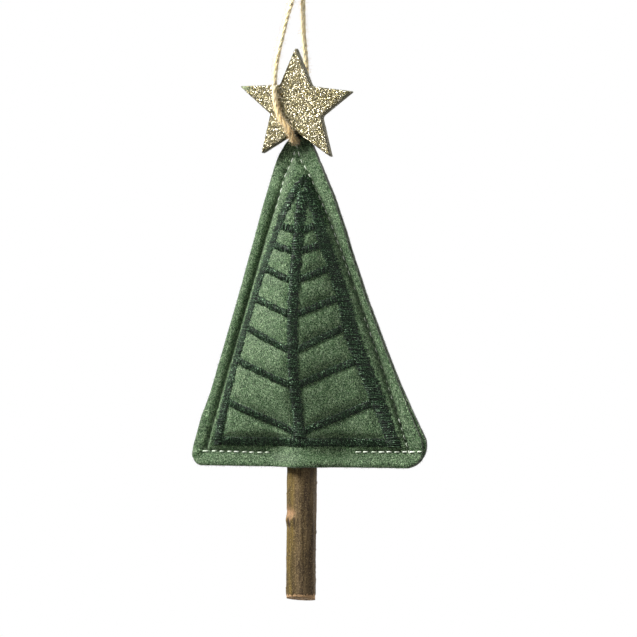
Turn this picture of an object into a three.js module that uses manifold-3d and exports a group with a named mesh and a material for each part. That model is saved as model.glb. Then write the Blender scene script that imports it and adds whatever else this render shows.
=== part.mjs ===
// A stuffed felt Christmas tree on a twig, with a felt star at its tip and a twine loop to hang it by.
// Millimetres, +Z up, front towards -Y. The origin is the hanging point, just under the twine's knot.
import * as THREE from "three";
import { mergeVertices } from "three/addons/utils/BufferGeometryUtils.js";
import Module from "manifold-3d";

const wasm = await Module();
wasm.setup();

// Clearance kept between pieces that touch
const gap = 0.3;

// Felt tree, measured from the punched hole at its tip
const holeDrop = 57.3;
const holeRadius = 1.3;
const tipRise = 6.5;
const tipLean = 1.9;
const hemDrop = 108.2;
const shoulderDrop = 6;
const shoulderLeft = 8;
const shoulderRight = 7.7;
const footLeft = 39.5;
const footRight = 48.3;
const hollowLeft = 0.9;
const hollowRight = 1.9;
const cornerLeft = 7;
const cornerRight = 11;
const tipRoundDrop = 12;
const tipRoundShare = 3.6;
const felt = 1.2;

// Sewn line round the edge, and the stuffed crowns inside it
const seamTopDrop = 2.9;
const seamTopLean = -0.4;
const seamTopReach = 9;
const seamTopWidth = 1.2;
const seamHemMargin = 4.7;
const seamLeftMargin = 3.2;
const seamLeftSpread = 1.3;
const seamRightMargin = 1.9;
const seamRightSpread = 4.2;
const seamGroove = 0.35;
const flangePuff = 0.2;
const flangeLeast = 1.4;
const frontCrown = 11;
const backCrown = 8;
const crownReach = 20;
const crownShare = 2.3;
const sideLeanShare = 0.956;
const stretchMost = 1.5;

// Rise of both felts over the twig, at the gap in the hem seam
const ridgeHeight = 7;
const ridgeCentre = 3.6;
const ridgeLeft = 13;
const ridgeRight = 15;
const ridgeFade = 22;

// Satin stitch pattern on the front
const patternAxis = 3;
const patternTopMargin = 1.9;
const patternHemMargin = 6.9;
const patternTopHalf = 3.1;
const patternFootMargin = 6.8;
const patternLeftBulge = 1.6;
const patternTopRound = 6;
const patternClear = 1;
const borderLeft = 3.1;
const borderRightTop = 3.1;
const borderRightHem = 4.7;
const borderHem = 2.9;
const stemWidth = 3.5;
const stemTopDrop = 18.5;
const branchWidth = 2.4;
const branchStemShares = [0.207, 0.282, 0.388, 0.513, 0.643, 0.771, 0.943];
const branchTipShares = [0.192, 0.262, 0.348, 0.458, 0.566, 0.687, 0.84];
const satinEdge = 0.3;
const satinRise = 0.5;
const satinStep = 3;
const satinAcrossShares = [0, 0.25, 0.5, 0.75, 1];

// Sewing thread
const threadRadius = 0.25;
const threadLift = 0.2;
const threadTopLift = 0.6;
const threadTopReach = 14;
const hemStitchLeft = 9.9;
const hemStitchRight = 20.2;
const threadSideShares = [0.97, 0.9, 0.8, 0.68, 0.56, 0.44, 0.32, 0.2, 0.1, 0.03];
const threadSides = 4;
const threadSteps = 64;

// Twig
const twigTopRadius = 5;
const twigEndRadius = 4.9;
const twigShown = 44.1;
const twigHidden = 34;
const twigTopLean = 1.6;
const twigEndLean = 0.5;
const twigWave = 0.12;
const twigRibs = 3;
const twigTwist = 5;
const twigCutAngle = THREE.MathUtils.degToRad(12);
const budDrop = 17.5;
const budHeight = 0.9;
const budReach = 3.2;
const budTurn = THREE.MathUtils.degToRad(198);
const budSpread = THREE.MathUtils.degToRad(52);
const twigRingShares = [0, 0.06, 0.14, 0.22, 0.3, 0.38, 0.46, 0.54, 0.58, 0.62, 0.655, 0.69, 0.73, 0.78, 0.84,
  0.9, 0.96, 1];
const glueRadius = 1.6;

// Star
const starRadius = 20.9;
const starHeightShare = 0.96;
const starInnerShare = 0.45;
const starTipRadius = 0.6;
const starTurn = THREE.MathUtils.degToRad(0.2);
const starSlant = 0.068;
const starRise = 11.25;
const starAside = 0.7;
const starFelt = 2.8;
const starGlitter = 0.4;
const starGlitterInset = 0.25;
const starGlue = 0.4;
const starGlueRadius = 1.2;
const starGlueRise = 4;
const starGlueAside = 1.5;
const tipSegments = 3;

// Twine
const twineDiameter = 1.7;
const knotRadius = 2.7;
const knotHeight = 5.6;
const tailLength = 8;
const tailSpread = THREE.MathUtils.degToRad(16);
const twineSides = 8;
const twineSteps = 72;
const knotProfileShares = [[0, 0], [0.62, 0.06], [0.93, 0.26], [1, 0.5], [0.93, 0.74], [0.62, 0.94], [0, 1]];

// Flat sides of small round parts
const roundSides = 16;
const smallSides = 12;

const half = gap / 2;
const outer = half + felt;
const hemSeam = seamHemMargin - hemDrop;
const patternTopDrop = seamTopReach + patternTopMargin;
const patternHemDrop = hemDrop - patternHemMargin;
const patternHemHalf = footLeft - patternFootMargin;

// A number held between two limits.
function clamp(value, low, high) {
  return Math.min(Math.max(value, low), high);
}

// A smooth hump: 1 at zero, 0 from one on.
function hump(share) {
  return 0.5 * (1 + Math.cos(Math.PI * clamp(Math.abs(share), 0, 1)));
}

// Straight side of the tree, a little hollow, as a distance from the hole's axis.
function sideLine(z, left) {
  const top = left ? shoulderLeft : shoulderRight;
  const foot = left ? footLeft : footRight;
  const hollow = left ? hollowLeft : hollowRight;
  const along = (-shoulderDrop - z) / (hemDrop - shoulderDrop);
  const inside = clamp(along, 0, 1);
  return top + (foot - top) * along - hollow * 4 * inside * (1 - inside);
}

// The cut edge: the side with its tip leaned over and rounded off, and its hem corner rounded off.
function cutEdge(z, left) {
  const corner = left ? cornerLeft : cornerRight;
  const tip = clamp((z + tipRoundDrop) / (tipRise + tipRoundDrop), 0, 1);
  const low = clamp(corner - (z + hemDrop), 0, corner);
  const inset = corner - Math.sqrt(corner ** 2 - low ** 2);
  const x = sideLine(z, left) * (1 - tip ** tipRoundShare) - inset;
  return tipLean * tip ** 2 + (left ? -x : x);
}

// The sewn line on one side; both sides meet at the top.
function seamLine(z, left) {
  const margin = left ? seamLeftMargin : seamRightMargin;
  const spread = left ? seamLeftSpread : seamRightSpread;
  const along = clamp((-shoulderDrop - z) / (hemDrop - shoulderDrop), 0, 1);
  const x = sideLine(z, left) - margin - spread * (2 * along - 1) ** 2;
  const below = clamp((-seamTopDrop - z) / seamTopReach, 0, 1);
  const open = below * (2 - below);
  const start = seamTopLean + (left ? -seamTopWidth : seamTopWidth) / 2;
  return start + ((left ? -x : x) - start) * open;
}

// Share of the full crown at a distance inside one sewn line.
function edgeRise(distance) {
  return 1 - (1 - clamp(distance / crownReach, 0, 1)) ** crownShare;
}

// Height of a stuffed panel over its flat edge.
function crownHeight(x, z, peak) {
  const fromLeft = (x - seamLine(z, true)) * sideLeanShare;
  const fromRight = (seamLine(z, false) - x) * sideLeanShare;
  const crown = z > -seamTopDrop ? 0 : edgeRise(fromLeft) * edgeRise(fromRight) * edgeRise(z - hemSeam);
  const across = (x - ridgeCentre) / (x < ridgeCentre ? ridgeLeft : ridgeRight);
  const ridge = ridgeHeight * hump(across) * (1 - clamp((z - hemSeam) / ridgeFade, 0, 1));
  return peak * crown + ridge * (1 - crown);
}

// Height of the panel's inner face, kept a felt's thickness inside the crown on the slopes.
function innerHeight(x, z, peak) {
  const step = half;
  const slopeX = (crownHeight(x + step, z, peak) - crownHeight(x - step, z, peak)) / (2 * step);
  const slopeZ = (crownHeight(x, z + step, peak) - crownHeight(x, z - step, peak)) / (2 * step);
  const stretch = Math.min(Math.hypot(1, slopeX, slopeZ), stretchMost);
  return Math.max(crownHeight(x, z, peak) - felt * (stretch - 1), 0);
}

const tipRowShares = [0.04, 0.13, 0.27, 0.45, 0.66, 0.83, 1];
const crownRowShares = [0.03, 0.07, 0.12, 0.18, 0.25, 0.33, 0.42, 0.51, 0.6, 0.69, 0.78, 0.85, 0.9, 0.94, 0.975, 1];
const hemRowShares = [0.3, 0.62, 0.87, 1];
const columnShares = [0, 0.05, 0.11, 0.18, 0.255, 0.33, 0.385, 0.43, 0.475, 0.52, 0.565, 0.61, 0.66, 0.71,
  0.785, 0.855, 0.92, 0.965, 1];

// Rows of plan points across the tree: cut edge, middle of the flange, sewn line, crown, and back again.
// Above the seam's top the points are spread evenly instead.
function treeRows() {
  const heights = [
    ...tipRowShares.map((share) => tipRise - share * (tipRise + seamTopDrop)),
    ...crownRowShares.map((share) => -seamTopDrop + share * (hemSeam + seamTopDrop)),
    ...hemRowShares.map((share) => hemSeam - share * seamHemMargin),
  ];
  return heights.map((z) => {
    const left = cutEdge(z, true);
    const right = cutEdge(z, false);
    const from = Math.max(seamLine(z, true), left + flangeLeast);
    const to = Math.min(seamLine(z, false), right - flangeLeast);
    const crown = columnShares.map((share) => from + share * (to - from));
    const sewn = [left, (left + from) / 2, ...crown, (to + right) / 2, right];
    const open = clamp((-seamTopDrop - z) / seamTopReach, 0, 1);
    const xs = sewn.map((x, column) => {
      const even = left + ((right - left) * column) / (sewn.length - 1);
      return even + (x - even) * open;
    });
    return { z, xs };
  });
}

const rows = treeRows();
const seamColumns = [2, rows[0].xs.length - 3];

// One closed solid between two faces laid over the same grid of points.
function slab(near, far) {
  const across = near[0].length;
  const count = near.length * across;
  const position = [...near.flat(2), ...far.flat(2)];
  const index = [];
  const quad = (a, b, c, d) => index.push(a, b, c, a, c, d);
  const at = (row, column) => row * across + column;
  for (let row = 0; row < near.length - 1; row++) {
    for (let column = 0; column < across - 1; column++) {
      const [a, b, c, d] = [at(row, column), at(row + 1, column), at(row + 1, column + 1), at(row, column + 1)];
      quad(a, b, c, d);
      quad(a + count, d + count, c + count, b + count);
    }
    quad(at(row, 0), at(row, 0) + count, at(row + 1, 0) + count, at(row + 1, 0));
    const last = at(row, across - 1);
    quad(last, last + across, last + across + count, last + count);
  }
  for (let column = 0; column < across - 1; column++) {
    quad(column, column + 1, column + 1 + count, column + count);
    const last = at(near.length - 1, column);
    quad(last, last + count, last + 1 + count, last + 1);
  }
  const geometry = new THREE.BufferGeometry();
  geometry.setAttribute("position", new THREE.Float32BufferAttribute(position, 3));
  geometry.setIndex(index);
  return geometry;
}

// A closed geometry as a solid that can be cut or joined.
function toSolid(geometry) {
  const bare = geometry.clone();
  bare.deleteAttribute("normal");
  bare.deleteAttribute("uv");
  const merged = mergeVertices(bare, 1e-3);
  const vertProperties = merged.attributes.position.array;
  const triVerts = new Uint32Array(merged.index.array);
  return new wasm.Manifold(new wasm.Mesh({ numProp: 3, vertProperties, triVerts }));
}

// A cut or joined solid as a geometry again.
function toGeometry(solid) {
  const mesh = solid.getMesh();
  const geometry = new THREE.BufferGeometry();
  const position = [];
  for (let corner = 0; corner < mesh.numVert; corner++) {
    position.push(...mesh.vertProperties.subarray(corner * mesh.numProp, corner * mesh.numProp + 3));
  }
  geometry.setAttribute("position", new THREE.Float32BufferAttribute(position, 3));
  geometry.setIndex([...mesh.triVerts]);
  return geometry;
}

// A round bar along Y or Z between two places, for holes, pins and drops.
function bar(radius, from, to, axis, sides) {
  const geometry = new THREE.CylinderGeometry(radius, radius, to - from, sides);
  geometry.translate(0, (from + to) / 2, 0);
  if (axis === "z") geometry.rotateX(Math.PI / 2);
  return geometry;
}

// Whether a point of the grid lies on a stitched stretch of the seam, which stops short of the twig.
function onSeam(x, z, column) {
  const side = seamColumns.includes(column) && z <= -seamTopDrop - seamTopReach && z >= hemSeam;
  const hem = z === hemSeam && column > seamColumns[0] && column < seamColumns[1];
  return side || (hem && (x < -hemStitchLeft || x > hemStitchRight));
}

// A felt panel: flat flange, groove at the seam, crown inside it, and a hole for the twine.
function panel(front) {
  const peak = front ? frontCrown : backCrown;
  const way = front ? -1 : 1;
  const face = (lift) => rows.map(({ z, xs }) => xs.map((x, column) => [x, way * lift(x, z, column), z]));
  const outside = face((x, z, column) => {
    const height = outer + crownHeight(x, z, peak);
    const sewn = onSeam(x, z, column);
    const puffed = column === 1 || column === seamColumns[1] + 1;
    return height - (sewn ? seamGroove : 0) + (puffed ? flangePuff : 0);
  });
  const inside = face((x, z) => half + innerHeight(x, z, peak));
  const sheet = toSolid(front ? slab(outside, inside) : slab(inside, outside));
  const reach = outer + frontCrown;
  return toGeometry(sheet.subtract(toSolid(bar(holeRadius, -reach, reach, "y", smallSides))));
}

// Stuffing between the two crowns, with room for the twig.
function filling() {
  const inside = rows.filter(({ z }) => z < -shoulderDrop - seamTopReach && z > hemSeam + seamHemMargin / 2);
  const face = (way, peak) => inside.map(({ z, xs }) => xs
    .slice(seamColumns[0] + 1, seamColumns[1])
    .map((x) => [x, way * (half + innerHeight(x, z, peak) - gap), z]));
  const pad = toSolid(slab(face(-1, frontCrown), face(1, backCrown)));
  return toGeometry(pad.subtract(toSolid(twigForm(gap))));
}

// Half width of the stitched pattern on one side at a height.
function patternHalf(z, left) {
  const along = (-patternTopDrop - z) / (patternHemDrop - patternTopDrop);
  const bulge = left ? patternLeftBulge * 4 * along * (1 - along) : 0;
  const round = clamp(1 - (-patternTopDrop - z) / patternTopRound, 0, 1);
  const full = (patternTopHalf + (patternHemHalf - patternTopHalf) * along) * (1 - round ** 2) + bulge;
  return Math.min(full, Math.abs(seamLine(z, left) - patternAxis) - patternClear);
}

// Inner edge of the left or right border, which stops short of the stem or of the other border.
function borderInner(z, left) {
  const along = (-patternTopDrop - z) / (patternHemDrop - patternTopDrop);
  const width = left ? borderLeft : borderRightTop + (borderRightHem - borderRightTop) * along;
  const least = z > satinStep - stemTopDrop ? half : stemWidth / 2 + gap;
  return Math.max(patternHalf(z, left) - width, least);
}

// A raised column of satin stitch laid over the front crown; place(u, v) gives its plan points.
function satin(place, length) {
  const steps = Math.max(Math.round(length / satinStep), 2);
  const face = (lift) => Array.from({ length: steps + 1 }, (_, row) => satinAcrossShares.map((v) => {
    const [x, z] = place(row / steps, v);
    return [x, -(outer + crownHeight(x, z, frontCrown) + gap + lift(v)), z];
  }));
  const top = face((v) => satinEdge + satinRise * (1 - (2 * v - 1) ** 2));
  return facedOut(slab(top, face(() => 0)));
}

// The same geometry with its faces turned to point out.
function facedOut(geometry) {
  const position = geometry.attributes.position;
  const index = geometry.index.array;
  const [a, b, c] = [0, 1, 2].map(() => new THREE.Vector3());
  let volume = 0;
  for (let face = 0; face < index.length; face += 3) {
    [a, b, c].forEach((corner, place) => corner.fromBufferAttribute(position, index[face + place]));
    volume += a.dot(b.cross(c));
  }
  if (volume < 0) geometry.setIndex([...index].reverse());
  return geometry;
}

// Left or right column of the border.
function borderSide(left) {
  const way = left ? -1 : 1;
  const from = -patternTopDrop - satinEdge;
  const to = -patternHemDrop;
  return satin((u, v) => {
    const z = from + (to - from) * u;
    const near = borderInner(z, left);
    const wide = Math.max(patternHalf(z, left), near + satinEdge);
    return [patternAxis + way * (near + (wide - near) * v), z];
  }, from - to);
}

// Bottom column of the border, between the two side columns.
function borderBottom() {
  const reach = (z, left) => borderInner(z, left) - gap;
  return satin((u, v) => {
    const z = -patternHemDrop + borderHem * v;
    return [patternAxis - reach(z, true) + (reach(z, true) + reach(z, false)) * u, z];
  }, 2 * patternHemHalf);
}

// Stem down the middle of the pattern.
function stem() {
  const from = -stemTopDrop - gap;
  const to = -patternHemDrop + borderHem + gap;
  return satin((u, v) => [patternAxis + stemWidth * (v - 0.5), from + (to - from) * u], from - to);
}

// One branch bar from the stem up and out to the border.
function branch(order, left) {
  const way = left ? -1 : 1;
  const height = patternHemDrop - patternTopDrop;
  const atStem = -patternTopDrop - branchStemShares[order] * height;
  const atTip = -patternTopDrop - branchTipShares[order] * height;
  const near = stemWidth / 2 + gap;
  const length = borderInner(atTip, left) - near;
  return satin((u, v) => {
    const z = atStem + (atTip - atStem) * u + branchWidth * (v - 0.5);
    const far = borderInner(atTip + branchWidth * (v - 0.5), left) - gap;
    return [patternAxis + way * (near + (far - near) * u), z];
  }, length);
}

// A thread or twine along a run of points.
function tube(points, radius, sides, steps) {
  const section = new THREE.Shape();
  for (let side = 0; side < sides; side++) {
    const turn = (2 * Math.PI * side) / sides;
    const corner = [radius * Math.cos(turn), radius * Math.sin(turn)];
    if (side === 0) section.moveTo(...corner);
    else section.lineTo(...corner);
  }
  section.closePath();
  const extrudePath = new THREE.CatmullRomCurve3(points, false, "centripetal");
  return new THREE.ExtrudeGeometry(section, { steps, extrudePath });
}

// Seam thread on one face: in along the hem, up one side, over the top, down the other and back in.
function seamThread(front) {
  const peak = front ? frontCrown : backCrown;
  const at = (x, z) => {
    const topLift = threadTopLift * clamp((z + threadTopReach) / (threadTopReach - seamTopDrop), 0, 1);
    const depth = outer - seamGroove + threadLift + topLift + gap + threadRadius;
    return new THREE.Vector3(x, (front ? -1 : 1) * (depth + crownHeight(x, z, peak)), z);
  };
  const hem = hemSeam + seamGroove;
  const side = (left) => threadSideShares.map((share) => {
    const z = -seamTopDrop - share * (-seamTopDrop - hem);
    return at(seamLine(z, left), z);
  });
  const turnIn = (left, inner) => {
    const corner = seamLine(hem, left);
    return [at(inner, hem), at((inner + corner) / 2, hem), at(corner + (left ? felt : -felt), hem)];
  };
  const points = [
    ...turnIn(true, -hemStitchLeft),
    ...side(true),
    at(seamTopLean, -seamTopDrop),
    ...side(false).reverse(),
    ...turnIn(false, hemStitchRight).reverse(),
  ];
  return tube(points, threadRadius, threadSides, threadSteps);
}

// The twig as a closed form, grown by a clearance where it is used to cut.
function twigForm(clearance = 0) {
  const top = twigHidden - hemDrop + clearance;
  const end = -hemDrop - twigShown;
  const sides = roundSides;
  const ring = (share) => {
    const z = top + (end - top) * share;
    const lean = twigTopLean + (twigEndLean - twigTopLean) * share;
    const radius = twigTopRadius + (twigEndRadius - twigTopRadius) * share + clearance;
    return Array.from({ length: sides }, (_, side) => {
      const turn = (2 * Math.PI * side) / sides;
      const wave = twigWave * Math.sin(twigRibs * turn + twigTwist * share) * Math.sin(2 * Math.PI * share);
      const bud = budHeight * hump((z + hemDrop + budDrop) / budReach) * hump((turn - budTurn) / budSpread);
      const out = radius + wave + bud;
      const drop = share === 1 ? out * Math.sin(turn) * Math.tan(twigCutAngle) : 0;
      return [lean + out * Math.cos(turn), out * Math.sin(turn), z - drop];
    });
  };
  const rings = twigRingShares.map(ring);
  const position = rings.flat(2);
  const middle = (circle, share) => position.push(
    twigTopLean + (twigEndLean - twigTopLean) * share, 0, share ? end : circle[0][2]);
  middle(rings[0], 0);
  middle(rings.at(-1), 1);
  const index = [];
  const count = rings.length * sides;
  rings.slice(1).forEach((_, row) => {
    for (let side = 0; side < sides; side++) {
      const next = (side + 1) % sides;
      const [a, b] = [row * sides + side, row * sides + next];
      index.push(a, a + sides, b + sides, a, b + sides, b);
    }
  });
  for (let side = 0; side < sides; side++) {
    const next = (side + 1) % sides;
    index.push(count, side, next);
    index.push(count + 1, count - sides + next, count - sides + side);
  }
  const geometry = new THREE.BufferGeometry();
  geometry.setAttribute("position", new THREE.Float32BufferAttribute(position, 3));
  geometry.setIndex(index);
  return facedOut(geometry);
}

// Drop of glue between the twig and the front felt, in the gap of the hem seam.
function trunkGlue() {
  const from = -(half + ridgeHeight - 3 * gap);
  const to = -(twigTopRadius + gap + twigWave);
  return bar(glueRadius, from, to, "y", smallSides).translate(ridgeCentre - glueRadius / 2, 0, hemSeam);
}

// Outline of the five pointed star, cut a little aslant and drawn in by an inset.
function starShape(inset) {
  const corners = Array.from({ length: 10 }, (_, order) => {
    const share = order % 2 ? starInnerShare : 1;
    const turn = Math.PI / 2 + starTurn + (order * Math.PI) / 5;
    const radius = starRadius * share - inset * (order % 2 ? 1 : 2);
    const x = radius * Math.cos(turn);
    return new THREE.Vector2(x, radius * starHeightShare * Math.sin(turn) - starSlant * x);
  });
  const shape = new THREE.Shape();
  corners.forEach((corner, order) => {
    const before = corners.at(order - 1);
    const after = corners[(order + 1) % corners.length];
    const enter = corner.clone().lerp(before, starTipRadius / corner.distanceTo(before));
    const leave = corner.clone().lerp(after, starTipRadius / corner.distanceTo(after));
    if (order === 0) shape.moveTo(enter.x, enter.y);
    else shape.lineTo(enter.x, enter.y);
    shape.quadraticCurveTo(corner.x, corner.y, leave.x, leave.y);
  });
  shape.closePath();
  return shape;
}

// A layer of the star, with its back face at zero and its front towards -Y.
function starLayer(depth, inset) {
  const geometry = new THREE.ExtrudeGeometry(starShape(inset), { depth, bevelEnabled: false, curveSegments: tipSegments });
  return geometry.rotateX(Math.PI / 2);
}

// Route of the twine, measured from the hole: up the front to the knot, and up the back to the knot.
const twineRoute = [
  [-0.6, -1.1, 57.0], [-1.0, -1.4, 52.5], [-1.7, -1.9, 47.3], [-2.4, -3.15, 43.6], [-3.0, -4.3, 40.2],
  [-3.6, -5.7, 35.7], [-4.3, -7.0, 31.0], [-5.2, -7.3, 26.5], [-5.8, -7.4, 21.5], [-6.0, -7.4, 16.8],
  [-5.4, -7.5, 11.8], [-3.7, -7.7, 7.3], [-1.2, -7.8, 4.4], [-0.3, -7.2, 2.2], [0, -5.8, 0.5], [0, -4.3, 0],
  [0, -2.1, 0], [0, 0, 0], [0, 1.5, 0.1], [0, 3.1, 1.3], [0.1, 3.6, 3.6], [0.4, 3.5, 7.8], [0.9, 3.4, 12.8],
  [1.4, 3.2, 18.2], [1.6, 3.0, 23.4], [1.3, 2.6, 29.6], [0.9, 2.1, 35.7], [0.9, 1.6, 41.4], [0.9, 1.3, 47.3],
  [0.7, 1.2, 52.4], [0.6, 1.1, 57.0],
];

// The twine's loop, held by the knot at both ends.
function twineLoop() {
  return tube(twineRoute.map((point) => new THREE.Vector3(...point)), twineDiameter / 2, twineSides, twineSteps);
}

// Overhand knot of both strands with its two cut tails.
function twineKnot() {
  const points = knotProfileShares.map(([out, up]) => new THREE.Vector2(out * knotRadius, up * knotHeight));
  const knot = new THREE.LatheGeometry(points, roundSides).rotateX(Math.PI / 2);
  const tail = (way) => bar(twineDiameter / 2, 0, tailLength, "z", twineSides)
    .rotateY(way * tailSpread)
    .translate(way * twineDiameter / 2, 0, knotHeight - twineDiameter);
  return toGeometry(toSolid(knot).add(toSolid(tail(-1))).add(toSolid(tail(1))));
}

const feltGreen = new THREE.MeshStandardMaterial({ color: 0x6f8f66, roughness: 0.95, metalness: 0 });
const threadGreen = new THREE.MeshStandardMaterial({ color: 0x1c3322, roughness: 0.5, metalness: 0 });
const threadPale = new THREE.MeshStandardMaterial({ color: 0xc6d2bd, roughness: 0.6, metalness: 0 });
const fibreWhite = new THREE.MeshStandardMaterial({ color: 0xe9e7df, roughness: 1, metalness: 0 });
const bark = new THREE.MeshStandardMaterial({ color: 0x6a5737, roughness: 0.85, metalness: 0 });
const glue = new THREE.MeshStandardMaterial({ color: 0xded9c4, roughness: 0.35, metalness: 0 });
const starGreen = new THREE.MeshStandardMaterial({ color: 0x66745a, roughness: 0.95, metalness: 0 });
const glitter = new THREE.MeshStandardMaterial({ color: 0xb9ac80, roughness: 0.35, metalness: 0.7 });
const jute = new THREE.MeshStandardMaterial({ color: 0xd2bd98, roughness: 0.9, metalness: 0 });

// A named mesh in a group.
function add(group, name, geometry, material) {
  geometry.deleteAttribute("uv");
  geometry.computeVertexNormals();
  const mesh = new THREE.Mesh(geometry, material);
  mesh.name = name;
  group.add(mesh);
  return mesh;
}

// The star's layers in their own group, in front of the tip.
function starGroup() {
  const star = new THREE.Group();
  const back = -(outer + starGlue + 2 * gap);
  star.position.set(0, back, 0);
  const centre = [starAside, 0, starRise];
  add(star, "star_core", starLayer(starFelt, 0).translate(...centre), starGreen);
  const face = starLayer(starGlitter, starGlitterInset).translate(...centre).translate(0, -starFelt - gap, 0);
  add(star, "star_face", face, glitter);
  return star;
}

// Everything that swings on the twine, with the hole at its origin.
function treeGroup() {
  const tree = new THREE.Group();
  add(tree, "front_panel", panel(true), feltGreen);
  add(tree, "back_panel", panel(false), feltGreen);
  add(tree, "filling", filling(), fibreWhite);
  add(tree, "embroidery_edge_left", borderSide(true), threadGreen);
  add(tree, "embroidery_edge_right", borderSide(false), threadGreen);
  add(tree, "embroidery_edge_bottom", borderBottom(), threadGreen);
  add(tree, "embroidery_stem", stem(), threadGreen);
  branchStemShares.forEach((_, order) => {
    add(tree, `embroidery_branch_left_${order + 1}`, branch(order, true), threadGreen);
    add(tree, `embroidery_branch_right_${order + 1}`, branch(order, false), threadGreen);
  });
  add(tree, "seam_thread_front", seamThread(true), threadPale);
  add(tree, "seam_thread_back", seamThread(false), threadPale);
  add(tree, "trunk", twigForm(), bark);
  add(tree, "trunk_glue", trunkGlue(), glue);
  const from = -(outer + gap + starGlue);
  const drop = bar(starGlueRadius, from, -(outer + gap), "y", smallSides);
  add(tree, "star_glue", drop.translate(starGlueAside, 0, starGlueRise), glue);
  tree.add(starGroup());
  return tree;
}

const ornament = new THREE.Group();
const tree = treeGroup();
tree.position.z = -holeDrop;
ornament.add(tree);
const loop = add(ornament, "twine_loop", twineLoop(), jute);
loop.position.z = -holeDrop;
add(ornament, "twine_knot", twineKnot(), jute);

export default ornament;
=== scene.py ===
import math

import bmesh
import bpy
import numpy as np
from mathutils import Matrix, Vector, noise


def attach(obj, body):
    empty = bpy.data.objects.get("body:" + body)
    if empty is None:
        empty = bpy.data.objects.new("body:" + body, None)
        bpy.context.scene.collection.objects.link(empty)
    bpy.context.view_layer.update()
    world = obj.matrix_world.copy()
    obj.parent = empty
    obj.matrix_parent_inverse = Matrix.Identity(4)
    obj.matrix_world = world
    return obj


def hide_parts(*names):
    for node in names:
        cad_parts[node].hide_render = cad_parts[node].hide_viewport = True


# A stuffed felt tree on a twig, with a glitter star and a twine loop. Sizes are in millimetres, as in the
# part's source, and tree points are measured from the punched hole at the tip until to_metres moves them.
# In a pair of values for the two sides, True is the left side and False the right one. Spots are heights on
# the tree, or places across it, and gives are how far a line or a height moves at each of them.
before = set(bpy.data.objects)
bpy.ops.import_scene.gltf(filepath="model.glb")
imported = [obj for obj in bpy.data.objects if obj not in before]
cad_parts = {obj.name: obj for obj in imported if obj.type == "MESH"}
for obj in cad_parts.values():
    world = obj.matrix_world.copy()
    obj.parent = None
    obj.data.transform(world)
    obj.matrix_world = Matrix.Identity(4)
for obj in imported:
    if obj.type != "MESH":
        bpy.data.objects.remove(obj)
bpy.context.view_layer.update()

MM = 0.001
HOLE_DROP = 57.3
HOLE_RADIUS = 1.05
HALF_GAP = 0.05
FELT = 1.3
OUTER = HALF_GAP + FELT

# Felt outline
TIP_RISE = 6.5
TIP_LEAN = 1.9
HEM_DROP = 108.2
SHOULDER_DROP = 6
SHOULDERS = {True: 8, False: 7.7}
FEET = {True: 39.5, False: 48.3}
HOLLOWS = {True: 0.9, False: 1.9}
CORNERS = {True: 7, False: 11}
TIP_ROUND_DROP = 12
TIP_ROUND_POWER = 3.6
CUT_ROUND = 0.22
CUT_PROFILE = ((0.12, 0.72), (0.32, 1.0), (0.68, 1.0), (0.9, 0.7))
CUT_ROUGH = 0.08
CUT_ROUGH_SIZE = 0.9
FELT_MIDDLE = -60
RIGHT_EDGE_SPOTS = [-52, -38, -30, -18, -7]
RIGHT_EDGE_GIVES = [0, 0.5, 1.0, 1.2, 0.2]
LEFT_EDGE_SPOTS = [-105, -98, -92, -84]
LEFT_EDGE_GIVES = [0, 0.3, 0.6, 0]
BACK_EDGE_SPOTS = [-107, -99, -91, -80, -60, -40, -20, -10]
BACK_EDGE_GIVES = [0.2, 1.3, 0.9, 0.4, 0.4, 0.4, 0.3, 0]
TIP_ROWS = 22
CROWN_ROWS = 200
HEM_ROWS = 13
FLANGE_STEPS = 8
CROWN_STEPS = 112
SEAM_CROWDING = 0.05
LEAST_HALF = 0.05
LEAST_FLANGE = 1.2
PUNCH_SIDES = 40
PUNCH_DEPTH = 20

# Sewn line
SEAM_TOP_DROP = 2.9
SEAM_TOP_LEAN = -0.4
SEAM_TOP_REACH = 9
SEAM_TOP_WIDTH = 1.2
SEAM_HEM_MARGIN = 4.7
SEAM_MARGINS = {True: 4.3, False: 1.9}
SEAM_SPREADS = {True: 0.8, False: 4.2}
SEAM_SPOTS = [-104, -93, -79, -66, -53, -39, -28]
SEAM_GIVES = [1.5, 1.6, 1.6, 1.4, 1.05, 0.5, 0]
HEM_SEAM = SEAM_HEM_MARGIN - HEM_DROP
HEM_STITCH_LEFT = 9.9
HEM_STITCH_RIGHT = 20.2
HEM_STITCH_PAST = 4.5
HEM_LINE_SPOTS = [-38, -9.9, 20.2, 46]
HEM_LINE_GIVES = [0.5, 0.2, 0.7, 1.1]
HEM_STITCH_DROP = 0.35
SIDE_STITCH_PAST = 0.6
UNSEWN_FADE = 2.5

# Crowns and the rise over the twig
FRONT_CROWN = 11
BACK_CROWN = 8
CROWN_REACH = 20
CROWN_POWER = 2.3
HEM_REACH = 32
HEM_POWER = 2.4
HEM_LAG = 3.2
HEM_BEND = 0.6
ROOF_SHARES = {True: 0.6, False: 1.0}
ROOF_HALVES = (7, 20)
ROOF_ROUND = 0.06
AXIS_BLEND = 6
CROWN_SPOTS = [-103, -94, -83, -71, -61, -49, -40, -32, -24, -12]
CROWN_GIVES = [0.4, -1.2, 0.6, 1.6, 1.9, 0.8, -0.3, -1.4, -2.2, -1.6]
SIDE_LEAN = 0.956
RIDGE_HEIGHT = 7
RIDGE_CENTRE = 3.6
RIDGE_LEFT = 13
RIDGE_RIGHT = 15
RIDGE_FADE = 22

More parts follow.
